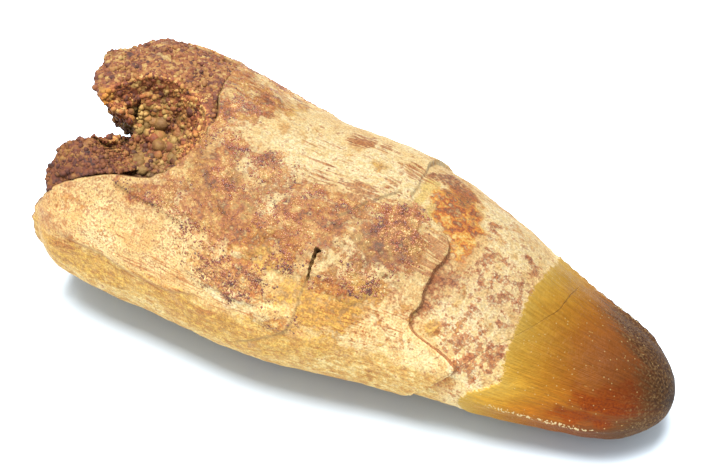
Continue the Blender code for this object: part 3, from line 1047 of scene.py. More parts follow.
    def root_colour(self, bench: Bench, noises: Noises) -> Socket:
        """The root's colour: creams, then stains laid over each other, then sand, pores and cracks,
        with painted shade along the ledge.

        Args:
            bench: The finish's nodes.
            noises: The noises that the colours share.

        Returns:
            The colour.
        """
        small = noises.small
        tone = bench.blend((noises.broad, 0.35), (noises.medium, 0.35), (noises.fine, 0.3))
        colour = bench.ramp(tone, self.creams)
        for stain, grit, tone in self.stains(bench, noises):
            cover = bench.ragged(bench.mark(stain.mark), grit, stain.pull, stain.low, stain.high)
            colour = bench.lay(colour, bench.ramp(tone, stain.colours), cover, stain.strength)
        colour = self.sand_colour(bench, colour, noises)
        everywhere = bench.plus(0.5, bench.times(noises.broad, 0.4))
        dots = bench.blend((small, 0.5), (bench.noise(0.26, 2), 0.5))
        freckles = bench.ragged(everywhere, dots, 5.0, 1.05, 1.45)
        colour = bench.lay(colour, colour_of(self.freckle), freckles, 0.55)
        colour = bench.tinted(colour, bench.grey(bench.noise(0.17, 2), (0.36, 0.64), (0.78, 1.24)))
        colour = self.pore_colour(bench, colour, noises)
        return self.crack_colour(bench, colour, noises)

    def sand_colour(self, bench: Bench, colour: Any, noises: Noises) -> Socket:
        """Lays grains of red-brown sand over a colour, thin at a patch's edge and dark where thick.

        Args:
            bench: The finish's nodes.
            colour: The colour underneath.
            noises: The noises that the colours share.

        Returns:
            The colour.
        """
        medium, small = noises.medium, noises.small
        draw = bench.blend((bench.cells(0.3)[1], 0.5), (bench.cells(0.17)[1], 0.5))
        grains = SandTones().colour(bench, draw, medium, small)
        dark = bench.ragged(bench.mark(Mark.DARK_SAND), medium, 3.0, 0.3, 0.9)
        grains = bench.lay(grains, bench.tinted(grains, self.thick_sand), dark, 0.8)
        grit = bench.blend((medium, 0.5), (small, 0.3), (noises.fine, 0.2))
        thin = bench.times(bench.centred(bench.noise(3.2)), 2.6)
        cover = bench.ragged(bench.plus(bench.mark(Mark.SAND), thin), grit, 5.2, 0.3, 0.95)
        return bench.lay(colour, bench.tinted(grains, self.all_sand), cover, 0.85)

    def pore_colour(self, bench: Bench, colour: Any, noises: Noises) -> Socket:
        """Pricks the worn root with red flecks and dark pin holes.

        Args:
            bench: The finish's nodes.
            colour: The colour underneath.
            noises: The noises that the colours share.

        Returns:
            The colour.
        """
        pores = bench.mark(Mark.PORES)
        grit = bench.blend((bench.noise(0.22, 1), 0.75), (noises.medium, 0.25))
        flecks = bench.ragged(pores, grit, 5.0, 0.95, 1.4)
        colour = bench.lay(colour, bench.ramp(noises.small, self.red_flecks), flecks, 0.65)
        distance, draw = bench.cells(0.46)
        holes = bench.times(bench.band(distance, 0.2, 0.12), bench.band(draw, 0.45, 0.47),
                            bench.band(pores, 0.2, 0.5))
        return bench.lay(colour, colour_of(self.pin_hole), holes, 0.65)

    def crack_colour(self, bench: Bench, colour: Any, noises: Noises) -> Socket:
        """Draws the root's crack, the shoulder line and painted shade along the foot of the ledge's
        step.

        Args:
            bench: The finish's nodes.
            colour: The colour underneath.
            noises: The noises that the colours share.

        Returns:
            The colour.
        """
        wobble = bench.times(bench.centred(noises.small), 0.3)
        away = bench.size_of(bench.plus(bench.mark(Mark.FROM_CRACK), wobble))
        sandy = bench.times(bench.band(away, 0.22, 0.05), bench.mark(Mark.CRACK_SHOWS))
        colour = bench.lay(colour, bench.ramp(noises.fine, self.crack_sand), sandy, 0.75)
        away = bench.size_of(bench.plus(bench.mark(Mark.FROM_SHOULDER), wobble))
        line = bench.times(bench.band(away, 0.3, 0.05), bench.mark(Mark.SHOULDER_SHOWS))
        colour = bench.lay(colour, colour_of(self.shoulder), line, 0.6)
        # Painted shade: a dark band along the foot of the ledge's step
        away = bench.size_of(bench.plus(bench.mark(Mark.PAST_LEDGE), -0.05))
        return bench.lay(colour, colour_of(self.ledge_foot_shade), bench.band(away, 0.13, 0.03), 0.3)

    def crown_colour(self, bench: Bench, noises: Noises) -> Socket:
        """The crown's colour: olive yellow at the enamel's edge, through amber to a dark rough tip.

        Args:
            bench: The finish's nodes.
            noises: The noises that the colours share.

        Returns:
            The colour.
        """
        way, fine = noises.way, noises.fine
        wrinkle = bench.noise(0.6, 4, bench.stretched(way, 0.2))
        past = bench.plus(
            bench.mark(Mark.PAST_ENAMEL), bench.times(bench.centred(noises.broad), 3.0),
            bench.times(bench.centred(wrinkle), 2.0), bench.times(bench.centred(fine), 1.6),
        )
        colour = bench.ramp(bench.times(past, 1 / self.crown_length), self.ambers)
        furrow = bench.noise(0.28, 3, bench.stretched(way, 0.22))
        colour = bench.tinted(colour, bench.grey(furrow, (0.35, 0.65), (0.85, 1.12)))
        # Painted light: a red glow low on the near side, as of light through the amber enamel
        glow = bench.ragged(bench.mark(Mark.GLOW), wrinkle, 1.2, 0.0, 1.0)
        colour = bench.lay(colour, bench.ramp(fine, self.glows), glow, 0.8)
        grit = bench.blend((fine, 0.4), (wrinkle, 0.6))
        tip = bench.ragged(bench.mark(Mark.TIP), grit, 2.0, 0.25, 0.95)
        colour = bench.lay(colour, bench.ramp(fine, self.tips), tip, 0.9)
        pale = bench.ragged(bench.mark(Mark.CUTTING_EDGE), fine, 3.4, 0.95, 1.15)
        colour = bench.lay(colour, colour_of(self.worn_edge), pale, 0.85)
        # Pale specks and fine scratches: partly the enamel's own, partly painted highlights
        distance, draw = bench.cells(0.42)
        specks_and_glints = bench.times(bench.band(distance, 0.19, 0.1), bench.band(draw, 0.5, 0.55))
        colour = bench.lay(colour, colour_of(self.speck_and_glint), specks_and_glints, 0.6)
        distance, draw = bench.cells(0.8, bench.stretched(way, 0.4))
        scratches_and_glints = bench.times(bench.band(distance, 0.1, 0.05), bench.band(draw, 0.5, 0.55))
        return bench.lay(colour, colour_of(self.scratch_and_glint), scratches_and_glints, 0.5)

    def crown_crack(self, bench: Bench, colour: Any, small: Any) -> Socket:
        """Draws the hairline crack that crosses the neck and the crown.

        Args:
            bench: The finish's nodes.
            colour: The colour underneath.
            small: Noise of 0.5 mm, which makes the line wander.

        Returns:
            The colour.
        """
        wobble = bench.times(bench.centred(small), 0.35)
        away = bench.size_of(bench.plus(bench.mark(Mark.FROM_CROWN_CRACK), wobble))
        line = bench.times(bench.band(away, 0.07, 0.01), bench.mark(Mark.CROWN_CRACK_SHOWS))
        return bench.lay(colour, colour_of(self.hairline), line, 0.45)


@dataclass(frozen=True)
class SandstoneFinish:
    """Coarse red-brown sandstone with olive lumps, mustard stains, a pale flake and dark pits."""

    name: str = "sandstone_finish"
    loose: bool = False
    dimmed: tuple = (1.0, 0.87, 0.62, 1.0)
    stones: Stops = (
        (0.08, "#5a3020"), (0.24, "#8c4c34"), (0.4, "#aa6844"), (0.55, "#bf8856"),
        (0.7, "#cfa878"), (0.86, "#ead8b0"),
    )
    olives: Stops = ((0.1, "#7a653a"), (0.4, "#a58e58"), (0.65, "#bda875"), (0.9, "#d6c798"))
    mustards: Stops = ((0.1, "#8a5a14"), (0.5, "#c08c2c"), (0.9, "#deb860"))
    flake: str = "#fff0d2"
    # Painted shade deep in the hollow by the near wall's foot, and the near lobe's darker stone
    deep: str = "#3f2213"
    pit: str = "#6a3420"
    specular: float = 0.4
    relief: float = 0.12
    relief_strength: float = 0.7

    def make(self) -> bpy.types.Material:
        """Builds the finish.

        Returns:
            The material for the sandstone, or for its loose grains.
        """
        bench = Bench(self.name)
        medium = bench.noise(1.2)
        small = bench.noise(0.45)
        fine = bench.noise(0.18, 2)
        distance, draw = bench.cells(0.36)
        if self.loose:
            draw = bench.mark(Mark.TINT)
        share = bench.plus(bench.blend((draw, 0.65), (medium, 0.9), (fine, 0.3)), -0.45)
        colour = bench.ramp(share, self.stones)
        other = bench.math("FRACT", bench.times(draw, 7.31))
        olive = bench.times(bench.ragged(bench.mark(Mark.OLIVE), medium, 2.4, 0.35, 0.9),
                            bench.band(other, 0.35, 0.5))
        colour = bench.lay(colour, bench.ramp(share, self.olives), olive, 0.85)
        mustard = bench.times(bench.ragged(bench.mark(Mark.MUSTARD), medium, 2.6, 0.4, 0.9),
                              bench.band(other, 0.2, 0.4))
        colour = bench.lay(colour, bench.ramp(share, self.mustards), mustard, 0.85)
        flake = bench.band(bench.mark(Mark.PALE), 0.3, 0.6)
        colour = bench.lay(colour, colour_of(self.flake), flake)
        # Painted shade deep in the hollow, and the darker near lobe
        colour = bench.lay(colour, colour_of(self.deep), bench.mark(Mark.SHADE_AND_DARK_LOBE), 0.6)
        pits = bench.band(bench.noise(1.6, 2), 0.47, 0.34)
        colour = bench.lay(colour, colour_of(self.pit), pits, 0.4)
        colour = bench.tinted(colour, self.dimmed)
        # The colour times painted light in the window's hollow, and warmer and darker on the near
        # lobe
        bench.dress("Base Color", bench.tinted(colour, bench.mark(Mark.SHADE, "Vector")))
        bench.dress("Roughness", bench.plus(0.6, bench.times(small, 0.35)))
        bench.dress("Specular IOR Level", self.specular)
        packed = 0.0 if self.loose else -0.8
        height = bench.blend((fine, 0.6), (small, 0.5), (distance, packed))
        bench.bump(height, self.relief, self.relief_strength)
        return bench.material


@dataclass(frozen=True)
class CrustGrainFinish:
    """Loose grains of quartz sand, from brown through honey to cream."""

    name: str = "crust_grain_finish"
    dimmed: tuple = (0.55, 0.51, 0.44, 1.0)
    roughness: float = 0.45

    def make(self) -> bpy.types.Material:
        """Builds the finish.

        Returns:
            The material for the crust's loose grains.
        """
        bench = Bench(self.name)
        noises = bench.noise(1.3, 4), bench.noise(0.5)
        colour = SandTones().colour(bench, bench.mark(Mark.TINT), *noises)
        bench.dress("Base Color", bench.tinted(colour, self.dimmed))
        bench.dress("Roughness", self.roughness)
        return bench.material


@dataclass(frozen=True)
class FloorFinish:
    """A matt floor with the faintest unevenness, white under the studio's light: less of that light
    is given back near the tooth, where a shadow's soft edge must show, than far off.  It is a
    little blue, against the warm light that the tooth throws on it."""

    name: str = "floor_finish"
    near: tuple = ("#c0cbd5", "#c2cdd7")
    far: str = "#f2f5f8"
    reach: tuple = (60.0, 240.0)
    patch: float = 60.0
    roughness: float = 0.9
    specular: float = 0.1

    def make(self) -> bpy.types.Material:
        """Builds the finish.

        Returns:
            The material for the floor.
        """
        bench = Bench(self.name)
        first, second, far = (colour_of(text, (1.0, 1.0, 1.0)) for text in (*self.near, self.far))
        near = bench.mix(bench.noise(self.patch, 2), first, second)
        length = bench.tree.nodes.new("ShaderNodeVectorMath")
        length.operation = "LENGTH"
        bench.feed(length.inputs[0], bench.place)
        away = bench.band(length.outputs["Value"], *self.reach)
        bench.dress("Base Color", bench.mix(away, near, far))
        bench.dress("Roughness", self.roughness)
        bench.dress("Specular IOR Level", self.specular)
        return bench.material


@dataclass
class Tooth:
    """The fossil tooth: crown, neck, the root's thin plate with its ledge and crack, the broken rim
    and the pulp cavity, as one closed skin."""

    form: ToothForm
    grit: Grit
    columns: int = 400
    nose_rows: int = 30
    crown_rows: int = 30
    neck_rows: int = 28
    plate_rows: int = 40
    root_rows: int = 78
    cavity_rows: int = 20
    sharp: float = 70.0
    ledge_profile: tuple = ((0.14, 0.0), (0.05, 0.12), (-0.03, 0.88), (-0.12, 1.0))
    ledge_ragged: tuple = ((0.16, 1.1), (0.07, 0.35))
    ledge_thinned: float = 0.62
    ledge_thinned_reach: float = 2.5
    enamel: float = 0.1
    carina_angles: tuple = (31.0, 182.0)
    carina_height: float = 0.35
    carina_spread: float = 7.0
    carina_span: tuple = (41.0, 56.5)
    carina_fade: tuple = (4.0, 3.0)
    slit_angles: tuple = (122.0, 139.0)
    slit_depth: float = 1.2
    swells: tuple = ((0.14, 7.0), (0.09, 3.0), (0.05, 1.2))
    crust: float = 0.3
    # How the columns crowd together on the top and near side
    crowd: float = 25.0
    crowd_angle: float = 110.0
    # The waves' heights and sizes along the broken edges
    enamel_ragged: tuple = ((0.12, 0.8),)
    rim_ragged: tuple = ((0.18, 0.9),)
    line_shift: float = 11.0
    enamel_step: float = 0.12
    # The slit: where its rings stand beside each side, and how wide it gapes
    slit_margin: float = 0.45
    slit_lips: tuple = (0.16, 0.03, -0.03)
    slit_fade: tuple = (1.2, 1.5)
    slit_taper: tuple = (0.17, 0.09)
    slit_wobble: tuple = (0.03, 1.9)
    slit_chip: tuple = (0.3, 1.4, 0.8)
    # The relief
    swell_shift: float = 3.0
    crust_edge: Rough = Rough(0.28, 2.2)
    crust_rise: tuple = (0.25, 0.7)
    crust_lumps: Rough = Rough(0.16, 1.6, 5.0)
    crust_grains: tuple = (0.62, 0.1)
    ledge_thinned_angles: tuple = (50, 62, 86, 96)
    enamel_rise: tuple = (-0.05, 0.1)
    neck_end: tuple = (-0.3, 0.3)
    neck_rough: Rough = Rough(0.07, 0.9, 9.0)
    plate_rough: Rough = Rough(0.035, 0.7, 15.0, 2)
    tip_rough: Rough = Rough(0.06, 0.6, 21.0)
    tip_span: tuple = (9.5, 13.5)
    tip_fade: tuple = (0.0, 0.25)
    carina_teeth: tuple = (0.14, 0.95, 3.5)
    # The groove low on the near side
    shoulder_stations: tuple = (0, 5.6, 7.7, 10.2, 12.3, 14.4, 16.9, 22, 58)
    shoulder_angles: tuple = (168, 170, 170.5, 173, 173.5, 173, 168, 164, 160)
    shoulder_span: tuple = (2.0, 5.0, 15.0, 19.0)
    shoulder_end: tuple = (2.0, 6.0)
    shoulder_depth: float = 0.22
    shoulder_wall: tuple = (-0.25, 0.25)
    # The rim's three rings
    rim_shares: tuple = (0.12, 0.5, 0.88)
    rim_turns: tuple = (0.3, 0.5, 0.7)
    rim_bulge: float = 0.28
    rim_waves: tuple = (0.1, 0.8)
    # The loose grains
    strewn_edge: Rough = Rough(0.5, 1.4)
    strewn_rise: tuple = (0.05, 0.9)
    strewn_drifts: Rough = Rough(1.0, 3.2, 71.0)
    drift_rise: tuple = (-0.25, 0.35)
    strewn_least: float = 0.15
    strewn_end: tuple = (170, 190)
    grain_seeds: tuple = (23, 24)
    grain_count: int = 6000
    grain_radii: tuple = (0.05, 0.17)
    # The marks
    way_radius: float = 10.0
    stain_edge: Rough = Rough(0.4, 1.4)
    pulled_along: Rough = Rough(1.1, 3.0, 31.0)
    pulled_around: Rough = Rough(1.1, 3.0, 47.0)
    fleck_least: float = 0.46
    fleck_more: float = 0.24
    recess_angles: tuple = (80, 88, 100, 115, 130, 138, 146, 152, 160, 170)
    recess_reach: tuple = (0.1, 0.5, 1.3, 2.9, 1.9, 1.2, 0.8, 0.6, 0.5, 0.1)
    dark_tip_angles: tuple = (0, 56, 76, 90, 119, 166, 230, 360)
    dark_tip_reach: tuple = (48, 49.6, 51.9, 54.0, 55.6, 55.6, 54.5, 48)
    dark_tip_rise: tuple = (-3.4, 3.6)
    # Painted light and shade: the colour is multiplied by the first number, less the second as far
    # as the place faces the top light at the girth angle given, so the top is painted darker and the
    # lower sides lighter
    shade: tuple = (1.02, 0.58)
    shade_rise: tuple = (-0.15, 0.95)
    shade_angle: float = 84.0

    flecked: tuple = (
        Patch(32, 135, 6, 6), Patch(14, 72, 3.5, 5), Patch(3, 160, 3, 6), Patch(42, 110, 5, 9, 0.6),
    )
    sand: tuple = (
        Patch(14.6, 112, 3.4, 4.6, 0.95), Patch(13.6, 94, 2.4, 3.6, 0.85),
        Patch(13.2, 125, 2.8, 2.0, 0.85), Patch(13.6, 72, 2.6, 4.4, 0.85),
        Patch(10.0, 130, 3.0, 0.9, 0.8), Patch(18.9, 119, 4.2, 4.4),
        Patch(20.2, 99, 3.4, 2.6, 0.85), Patch(25.3, 108, 4.8, 2.6), Patch(32.0, 107, 3.6, 3.4),
        Patch(30.0, 130, 3.0, 2.4, 0.9), Patch(18.0, 146, 3.6, 2.6, 0.85),
        Patch(24.7, 164, 2.4, 1.7, 0.6), Patch(15.9, 103, 1.7, 2.6),
        Patch(25.3, 125, 3.6, 2.6, 0.85), Patch(32.9, 88, 1.1, 1.6, 0.5),
        Patch(21.5, 150, 3.4, 2.2, 0.75), Patch(14.0, 18, 8.0, 6.0, 0.6),
        Patch(24.0, 250, 9.0, 5.0, 0.7), Patch(12.0, 300, 6.0, 5.0, 0.6),
        Patch(13.6, 78, 1.8, 3.4, 0.6), Patch(11.6, 52, 1.2, 4.0), Patch(8.6, 36, 3.2, 2.6),
        Patch(5.6, 26, 3.0, 2.4), Patch(14.4, 66, 2.4, 3.4, 0.95),
    )
    dark_sand: tuple = (
        Patch(32.3, 107, 2.8, 2.6), Patch(31.0, 118, 2.4, 2.0, 0.9),
        Patch(16.6, 104, 1.3, 2.0, 0.9), Patch(20.3, 103, 1.8, 1.2, 0.7),
        Patch(19.5, 112, 2.0, 1.5, 0.5), Patch(28.3, 127, 1.5, 1.6, 0.6),
    )
    ochre: tuple = (
        Patch(6.0, 182, 6.0, 2.6, 0.8), Patch(27.0, 172, 6.0, 2.4, 0.7),
        Patch(22.0, 186, 8.0, 2.6, 0.7), Patch(29.1, 152, 3.0, 2.4),
        Patch(11.6, 178, 2.6, 1.8, 0.7), Patch(18.0, 180, 7.4, 2.2, 0.8),
        Patch(7.4, 176, 2.2, 1.3, 0.5), Patch(17.7, 54, 1.7, 2.3, 0.8),
        Patch(27.9, 74, 1.0, 0.9, 0.8), Patch(38.3, 141, 1.0, 0.8), Patch(41.8, 125, 0.8, 0.7, 0.7),
        Patch(22.1, 131, 3.4, 2.2), Patch(30.6, 140, 3.0, 2.4, 0.9),
        Patch(26.0, 146, 2.0, 2.4, 0.8), Patch(39.2, 117, 0.7, 1.3, 0.9),
        Patch(28.0, 141, 1.2, 1.8, 0.8), Patch(33.0, 165, 5.0, 3.0, 0.4),
        Patch(25.0, 320, 8.0, 5.0, 0.5), Patch(35.0, 240, 4.0, 4.0, 0.6),
    )
    rust: tuple = (
        Patch(3.6, 174, 1.5, 1.3, 0.8), Patch(15.2, 66, 1.1, 1.7, 0.9),
        Patch(21.7, 65, 0.8, 1.5, 0.35), Patch(24.5, 56, 1.2, 1.4), Patch(27.0, 56, 1.1, 1.0, 0.85),
        Patch(29.8, 59, 1.0, 0.8, 0.8), Patch(28.6, 90, 3.6, 1.6, 0.8),
        Patch(24.0, 92, 2.6, 1.8, 0.7), Patch(30.6, 150, 5.0, 4.0, 0.5),
        Patch(29.5, 80, 0.6, 0.8, 0.85), Patch(27.3, 94, 1.4, 1.1), Patch(25.7, 100, 1.0, 0.8),
        Patch(12.8, 60, 1.0, 1.4, 0.8), Patch(20.0, 15, 3.0, 2.0, 0.7),
        Patch(30.0, 210, 3.0, 2.0, 0.6),
    )
    orange: tuple = (
        Patch(35.0, 69, 2.6, 3.6), Patch(36.8, 84, 1.9, 2.2), Patch(35.4, 79, 1.8, 2.2),
        Patch(37.6, 94, 1.2, 1.8, 0.8),
    )
    dark_rust: tuple = (
        Patch(33.2, 54, 2.2, 1.9, 0.85), Patch(35.0, 57, 2.0, 1.4, 0.75),
        Patch(34.6, 66, 2.4, 1.3, 0.6), Patch(36.6, 78, 1.2, 1.2, 0.5),
    )
    film: tuple = (Patch(32.2, 74, 0.9, 2.0), Patch(33.6, 84, 0.8, 1.2, 0.9))
    brown: tuple = (
        Patch(39.6, 98, 2.6, 3.2, 0.75), Patch(42.4, 92, 1.2, 3.4, 0.75),
        Patch(37.2, 125, 1.0, 3.6, 0.8), Patch(41.2, 148, 2.4, 2.6, 0.8),
        Patch(37.2, 172, 3.8, 1.9, 0.85), Patch(40.2, 124, 2.0, 1.6, 0.6),
        Patch(38.8, 79, 1.3, 1.4, 0.85), Patch(39.2, 62, 1.0, 1.1, 0.7),
        Patch(43.2, 80, 1.4, 1.4, 0.85), Patch(41.5, 106, 1.2, 1.0, 0.85),
        Patch(43.3, 100, 0.8, 1.0, 0.8), Patch(37.6, 116, 1.7, 1.5, 0.9),
        Patch(43.4, 143, 1.3, 1.7, 0.9), Patch(40.4, 157, 1.9, 0.9, 0.9),
        Patch(37.6, 176, 2.8, 1.2, 0.9), Patch(43.0, 120, 0.7, 0.7, 0.8),
        Patch(39.9, 182, 2.0, 0.9, 0.7), Patch(41.0, 135, 0.8, 0.8, 0.6),
        Patch(38.0, 20, 3.0, 3.0, 0.7), Patch(41.0, 250, 3.0, 3.0, 0.8),
        Patch(42.0, 310, 2.0, 3.0, 0.7),
    )
    pale: tuple = (
        Patch(22.5, 80, 6.0, 3.4), Patch(28.0, 76, 3.6, 3.4), Patch(17.5, 95, 1.2, 1.4, 0.9),
        Patch(20.6, 160, 2.4, 1.2, 0.9), Patch(13.5, 128, 2.4, 1.2, 0.8),
        Patch(39.6, 128, 2.8, 3.4), Patch(41.6, 122, 3.0, 7.0, 0.85),
        Patch(40.4, 72, 3.2, 3.0, 0.9), Patch(41.6, 160, 2.2, 1.4, 0.9),
        Patch(38.6, 50, 3.5, 2.0, 0.8), Patch(41.6, 92, 1.6, 2.4, 0.8),
    )
    stripes: tuple = (
        Patch(16.0, 168, 12.0, 3.0, 0.55), Patch(15.0, 60, 3.0, 3.0, 0.7),
        Patch(24.0, 78, 6.0, 3.0, 0.5), Patch(34.8, 106, 2.0, 3.0), Patch(30.2, 64, 2.0, 1.6, 0.7),
        Patch(24.5, 56, 1.4, 1.5, 0.8), Patch(27.0, 56, 1.2, 1.2, 0.7),
        Patch(33.0, 150, 6.0, 3.0, 0.45), Patch(14.6, 66, 1.6, 1.6, 0.6),
    )
    # Where the painted red glow lies on the crown
    glow: tuple = (Patch(53.6, 150, 3.6, 1.5), Patch(54.6, 128, 2.0, 1.3, 0.7),
                   Patch(51.0, 170, 3.0, 1.0, 0.8))

    def girth(self) -> Array:
        """The columns' girth angles, closest together on the top and near side."""
        even = np.arange(self.columns) * 360 / self.columns
        return even - self.crowd * np.sin(np.radians(even - self.crowd_angle))

    def ragged_line(self, reach: Array, girth: Array, sizes: Sequence[tuple]) -> Array:
        """A line round the tooth with small bites along it: waves added to its station."""
        place = self.form.on_section(reach, girth, 0.0) + self.line_shift
        return reach + sum(height * self.grit.waves(place, size) for height, size in sizes)

    def spread(self, start: Array, end: Array, count: int) -> Array:
        """Evenly spaced rings from one line to another, without the first line."""
        return start + (end - start) * np.linspace(0, 1, count + 1)[1:, None]

    def stations(self, girth: Array) -> tuple[Array, Array, Array]:
        """Lays out the rings, from the tip over the outside to the rim: a quarter turn round the
        tip, and then even steps between the lines that run round the tooth.

        Args:
            girth: The columns' girth angles.

        Returns:
            The station, the share of the root's layer and the share of the slit's depth, each for
            rings by columns.
        """
        form = self.form
        enamel = ring_curve(form.enamel_angles, form.enamel_reach, girth)
        enamel = self.ragged_line(enamel, girth, self.enamel_ragged)
        ledge = ring_curve(form.ledge_angles, form.ledge_reach, girth)
        ledge = self.ragged_line(ledge, girth, self.ledge_ragged)
        crack = ring_curve(form.crack_angles, form.crack_reach, girth)
        rim = ring_curve(form.rim_angles, form.rim_reach, girth)
        rim = self.ragged_line(rim, girth, self.rim_ragged)
        turn = np.linspace(0, math.pi / 2, self.nose_rows + 1)[1:, None]
        nose = np.full(self.columns, form.length - form.tip_rounding)
        profile = np.array(self.ledge_profile)
        first_half, second_half = self.slit_half_width(girth)
        sides = [first_half + lip for lip in self.slit_lips]
        sides += [-second_half - lip for lip in self.slit_lips[::-1]]
        rows = [
            form.length - form.tip_rounding * (1 - np.cos(turn)) + 0 * girth,
            self.spread(nose, enamel + self.enamel_step, self.crown_rows),
            enamel[None],
            self.spread(enamel, ledge + profile[0, 0], self.neck_rows)[:-1],
            ledge + profile[:, :1],
            self.spread(ledge + profile[-1, 0], crack + self.slit_margin, self.plate_rows),
            crack + np.stack(sides),
            self.spread(crack - self.slit_margin, rim, self.root_rows),
        ]
        station = np.concatenate(rows)
        ledge_row, slit_row = (sum(len(row) for row in rows[:count]) for count in (4, 6))
        layer = np.zeros_like(station)
        layer[ledge_row : ledge_row + len(profile)] = profile[:, 1:]
        layer[ledge_row + len(profile) :] = 1.0
        deep = np.zeros_like(station)
        start, end = self.slit_angles
        opens, closes = self.slit_fade
        gapes = soft_step(start, start + opens, girth) * (1 - soft_step(end - closes, end, girth))
        deep[slit_row + 2 : slit_row + 4] = gapes
        return station, layer, deep

    def slit_half_width(self, girth: Array) -> tuple[Array, Array]:
        """How far the slit's sides stand from the crack's line: a wedge with a chip at its top.

        Args:
            girth: The columns' girth angles.

        Returns:
            The distance of the side towards the tip, and of the side towards the base.
        """
        start, end = self.slit_angles
        share = np.clip((girth - start) / (end - start), 0, 1)
        widest, lost = self.slit_taper
        wobble, pace = self.slit_wobble
        width = widest - lost * share + wobble * np.sin(girth * pace)
        chip, place, reach = self.slit_chip
        return width + chip * np.exp(-(((girth - start - place) / reach) ** 2)), width

    def relief(self, station: Array, girth: Array, layer: Array, deep: Array) -> Array:
        """How far the outside stands out from the core: swells, the layer, crust, enamel and
        cutting edges, with the shoulder's groove and the slit taken away.

        Args:
            station: The rings' stations.
            girth: The columns' girth angles.
            layer: The share of the root's layer.
            deep: The share of the slit's depth.

        Returns:
            The relief in millimetres, for rings by columns.
        """
        form, rough = self.form, self.grit.rough
        place = form.on_section(station, girth, 0.0)
        swell = sum(h * self.grit.waves(place + self.swell_shift, size) for h, size in self.swells)
        cover = form.cover(station, girth, self.sand, rough(self.crust_edge, place))
        crust = soft_step(*self.crust_rise, cover)
        size, height = self.crust_grains
        away, _ = self.grit.grains(place, size)
        lumps = rough(self.crust_lumps, place) + height * (1 - away)
        behind = ring_curve(form.ledge_angles, form.ledge_reach, girth) - station
        start, full, fades, end = self.ledge_thinned_angles
        thin = soft_step(start, full, girth) * (1 - soft_step(fades, end, girth))
        thin = self.ledge_thinned * thin * np.exp(-np.abs(behind) / self.ledge_thinned_reach)
        relief = swell + layer * form.layer * (1 - thin) + crust * (self.crust * 0.5 + lumps)
        past = station - ring_curve(form.enamel_angles, form.enamel_reach, girth)
        relief = relief + self.enamel * soft_step(*self.enamel_rise, past)
        neck = (1 - layer) * (1 - soft_step(*self.neck_end, past))
        relief = relief + rough(self.neck_rough, place, neck)
        relief = relief + rough(self.plate_rough, place, layer)
        relief = relief + self.carina(station, girth)
        relief = relief + rough(self.tip_rough, place, soft_step(*self.tip_span, past))
        below, shows = self.shoulder(station, girth)
        relief = relief - self.shoulder_depth * shows * soft_step(*self.shoulder_wall, below)
        relief = relief * soft_step(*self.tip_fade, form.end_rounding(station))
        return relief - deep * self.slit_depth

    def carina(self, station: Array, girth: Array) -> Array:
        """The two cutting edges: bell-shaped ridges along the crown, finely serrated.

        Args:
            station: The rings' stations.
            girth: The columns' girth angles.

        Returns:
            How far they stand out, for rings by columns.
        """
        height, length, spread = self.carina_teeth
        wave = height * np.sin(station * 2 * math.pi / length)
        ridge = np.zeros(np.broadcast(station, girth).shape)
        for angle in self.carina_angles:
            turn = turn_from(girth, angle)
            teeth = 1 + wave * np.exp(-((turn / spread) ** 2))
            ridge = ridge + teeth * np.exp(-((turn / self.carina_spread) ** 2))
        start, end = self.carina_span
        rise, fall = self.carina_fade
        span = soft_step(start, start + rise, station) * (1 - soft_step(end - fall, end, station))
        return self.carina_height * ridge * span

    def shoulder(self, station: Array, girth: Array) -> tuple[Array, Array]:
        """The groove low on the near side.

        Args:
            station: The rings' stations.
            girth: The columns' girth angles.

        Returns:
            How far below the groove's line each place is, in millimetres, and how strongly the
            groove shows there.
        """
        line = smooth_curve(self.shoulder_stations, self.shoulder_angles, station)
        below = np.radians(girth - line) * self.form.section(station)[0] * MEAN_RADIUS
        start, full, fades, end = self.shoulder_span
        along = soft_step(start, full, station) * (1 - soft_step(fades, end, station))
        return below, along * (1 - soft_step(*self.shoulder_end, below))

    def build(self) -> bpy.types.Object:
        """Makes the tooth's skin and its marks.

        Returns:
            The new piece, which stands for the tooth's solid.
        """
        form = self.form
        girth = self.girth()
        station, layer, deep = self.stations(girth)
        outside = form.on_section(station, girth, self.relief(station, girth, layer, deep))
        rim_station = station[-1]
        turn = np.linspace(0, math.pi / 2, self.cavity_rows + 1)[:-1, None]
        cavity_station = rim_station + (form.cavity_depth - rim_station) * np.sin(turn)
        cavity = form.on_cavity(cavity_station, girth, 0.0)
        rim = outside[-1] + (cavity[0] - outside[-1]) * np.array(self.rim_shares)[:, None, None]
        rim[..., 0] -= self.rim_bulge * np.sin(np.array(self.rim_turns) * math.pi)[:, None]
        height, size = self.rim_waves
        rim[..., 0] += height * self.grit.waves(rim, size)
        rings = np.concatenate([outside, rim, cavity])
        rings[..., 2] = np.maximum(rings[..., 2], 0.0)
        tip = form.on_section(np.array(form.length), 0.0, 0.0)
        apex = form.on_cavity(np.array(form.cavity_depth), 0.0, 0.0)
        skin = Skin(rings, tip, apex)
        piece = skin.build("fossil_tooth", self.sharp)
        self.mark_skin(skin, piece, station, girth, layer)
        self.build_grains(outside, station, girth, layer)
        piece.data.materials.append(ToothFinish().make())
        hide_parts("tooth")
        return piece

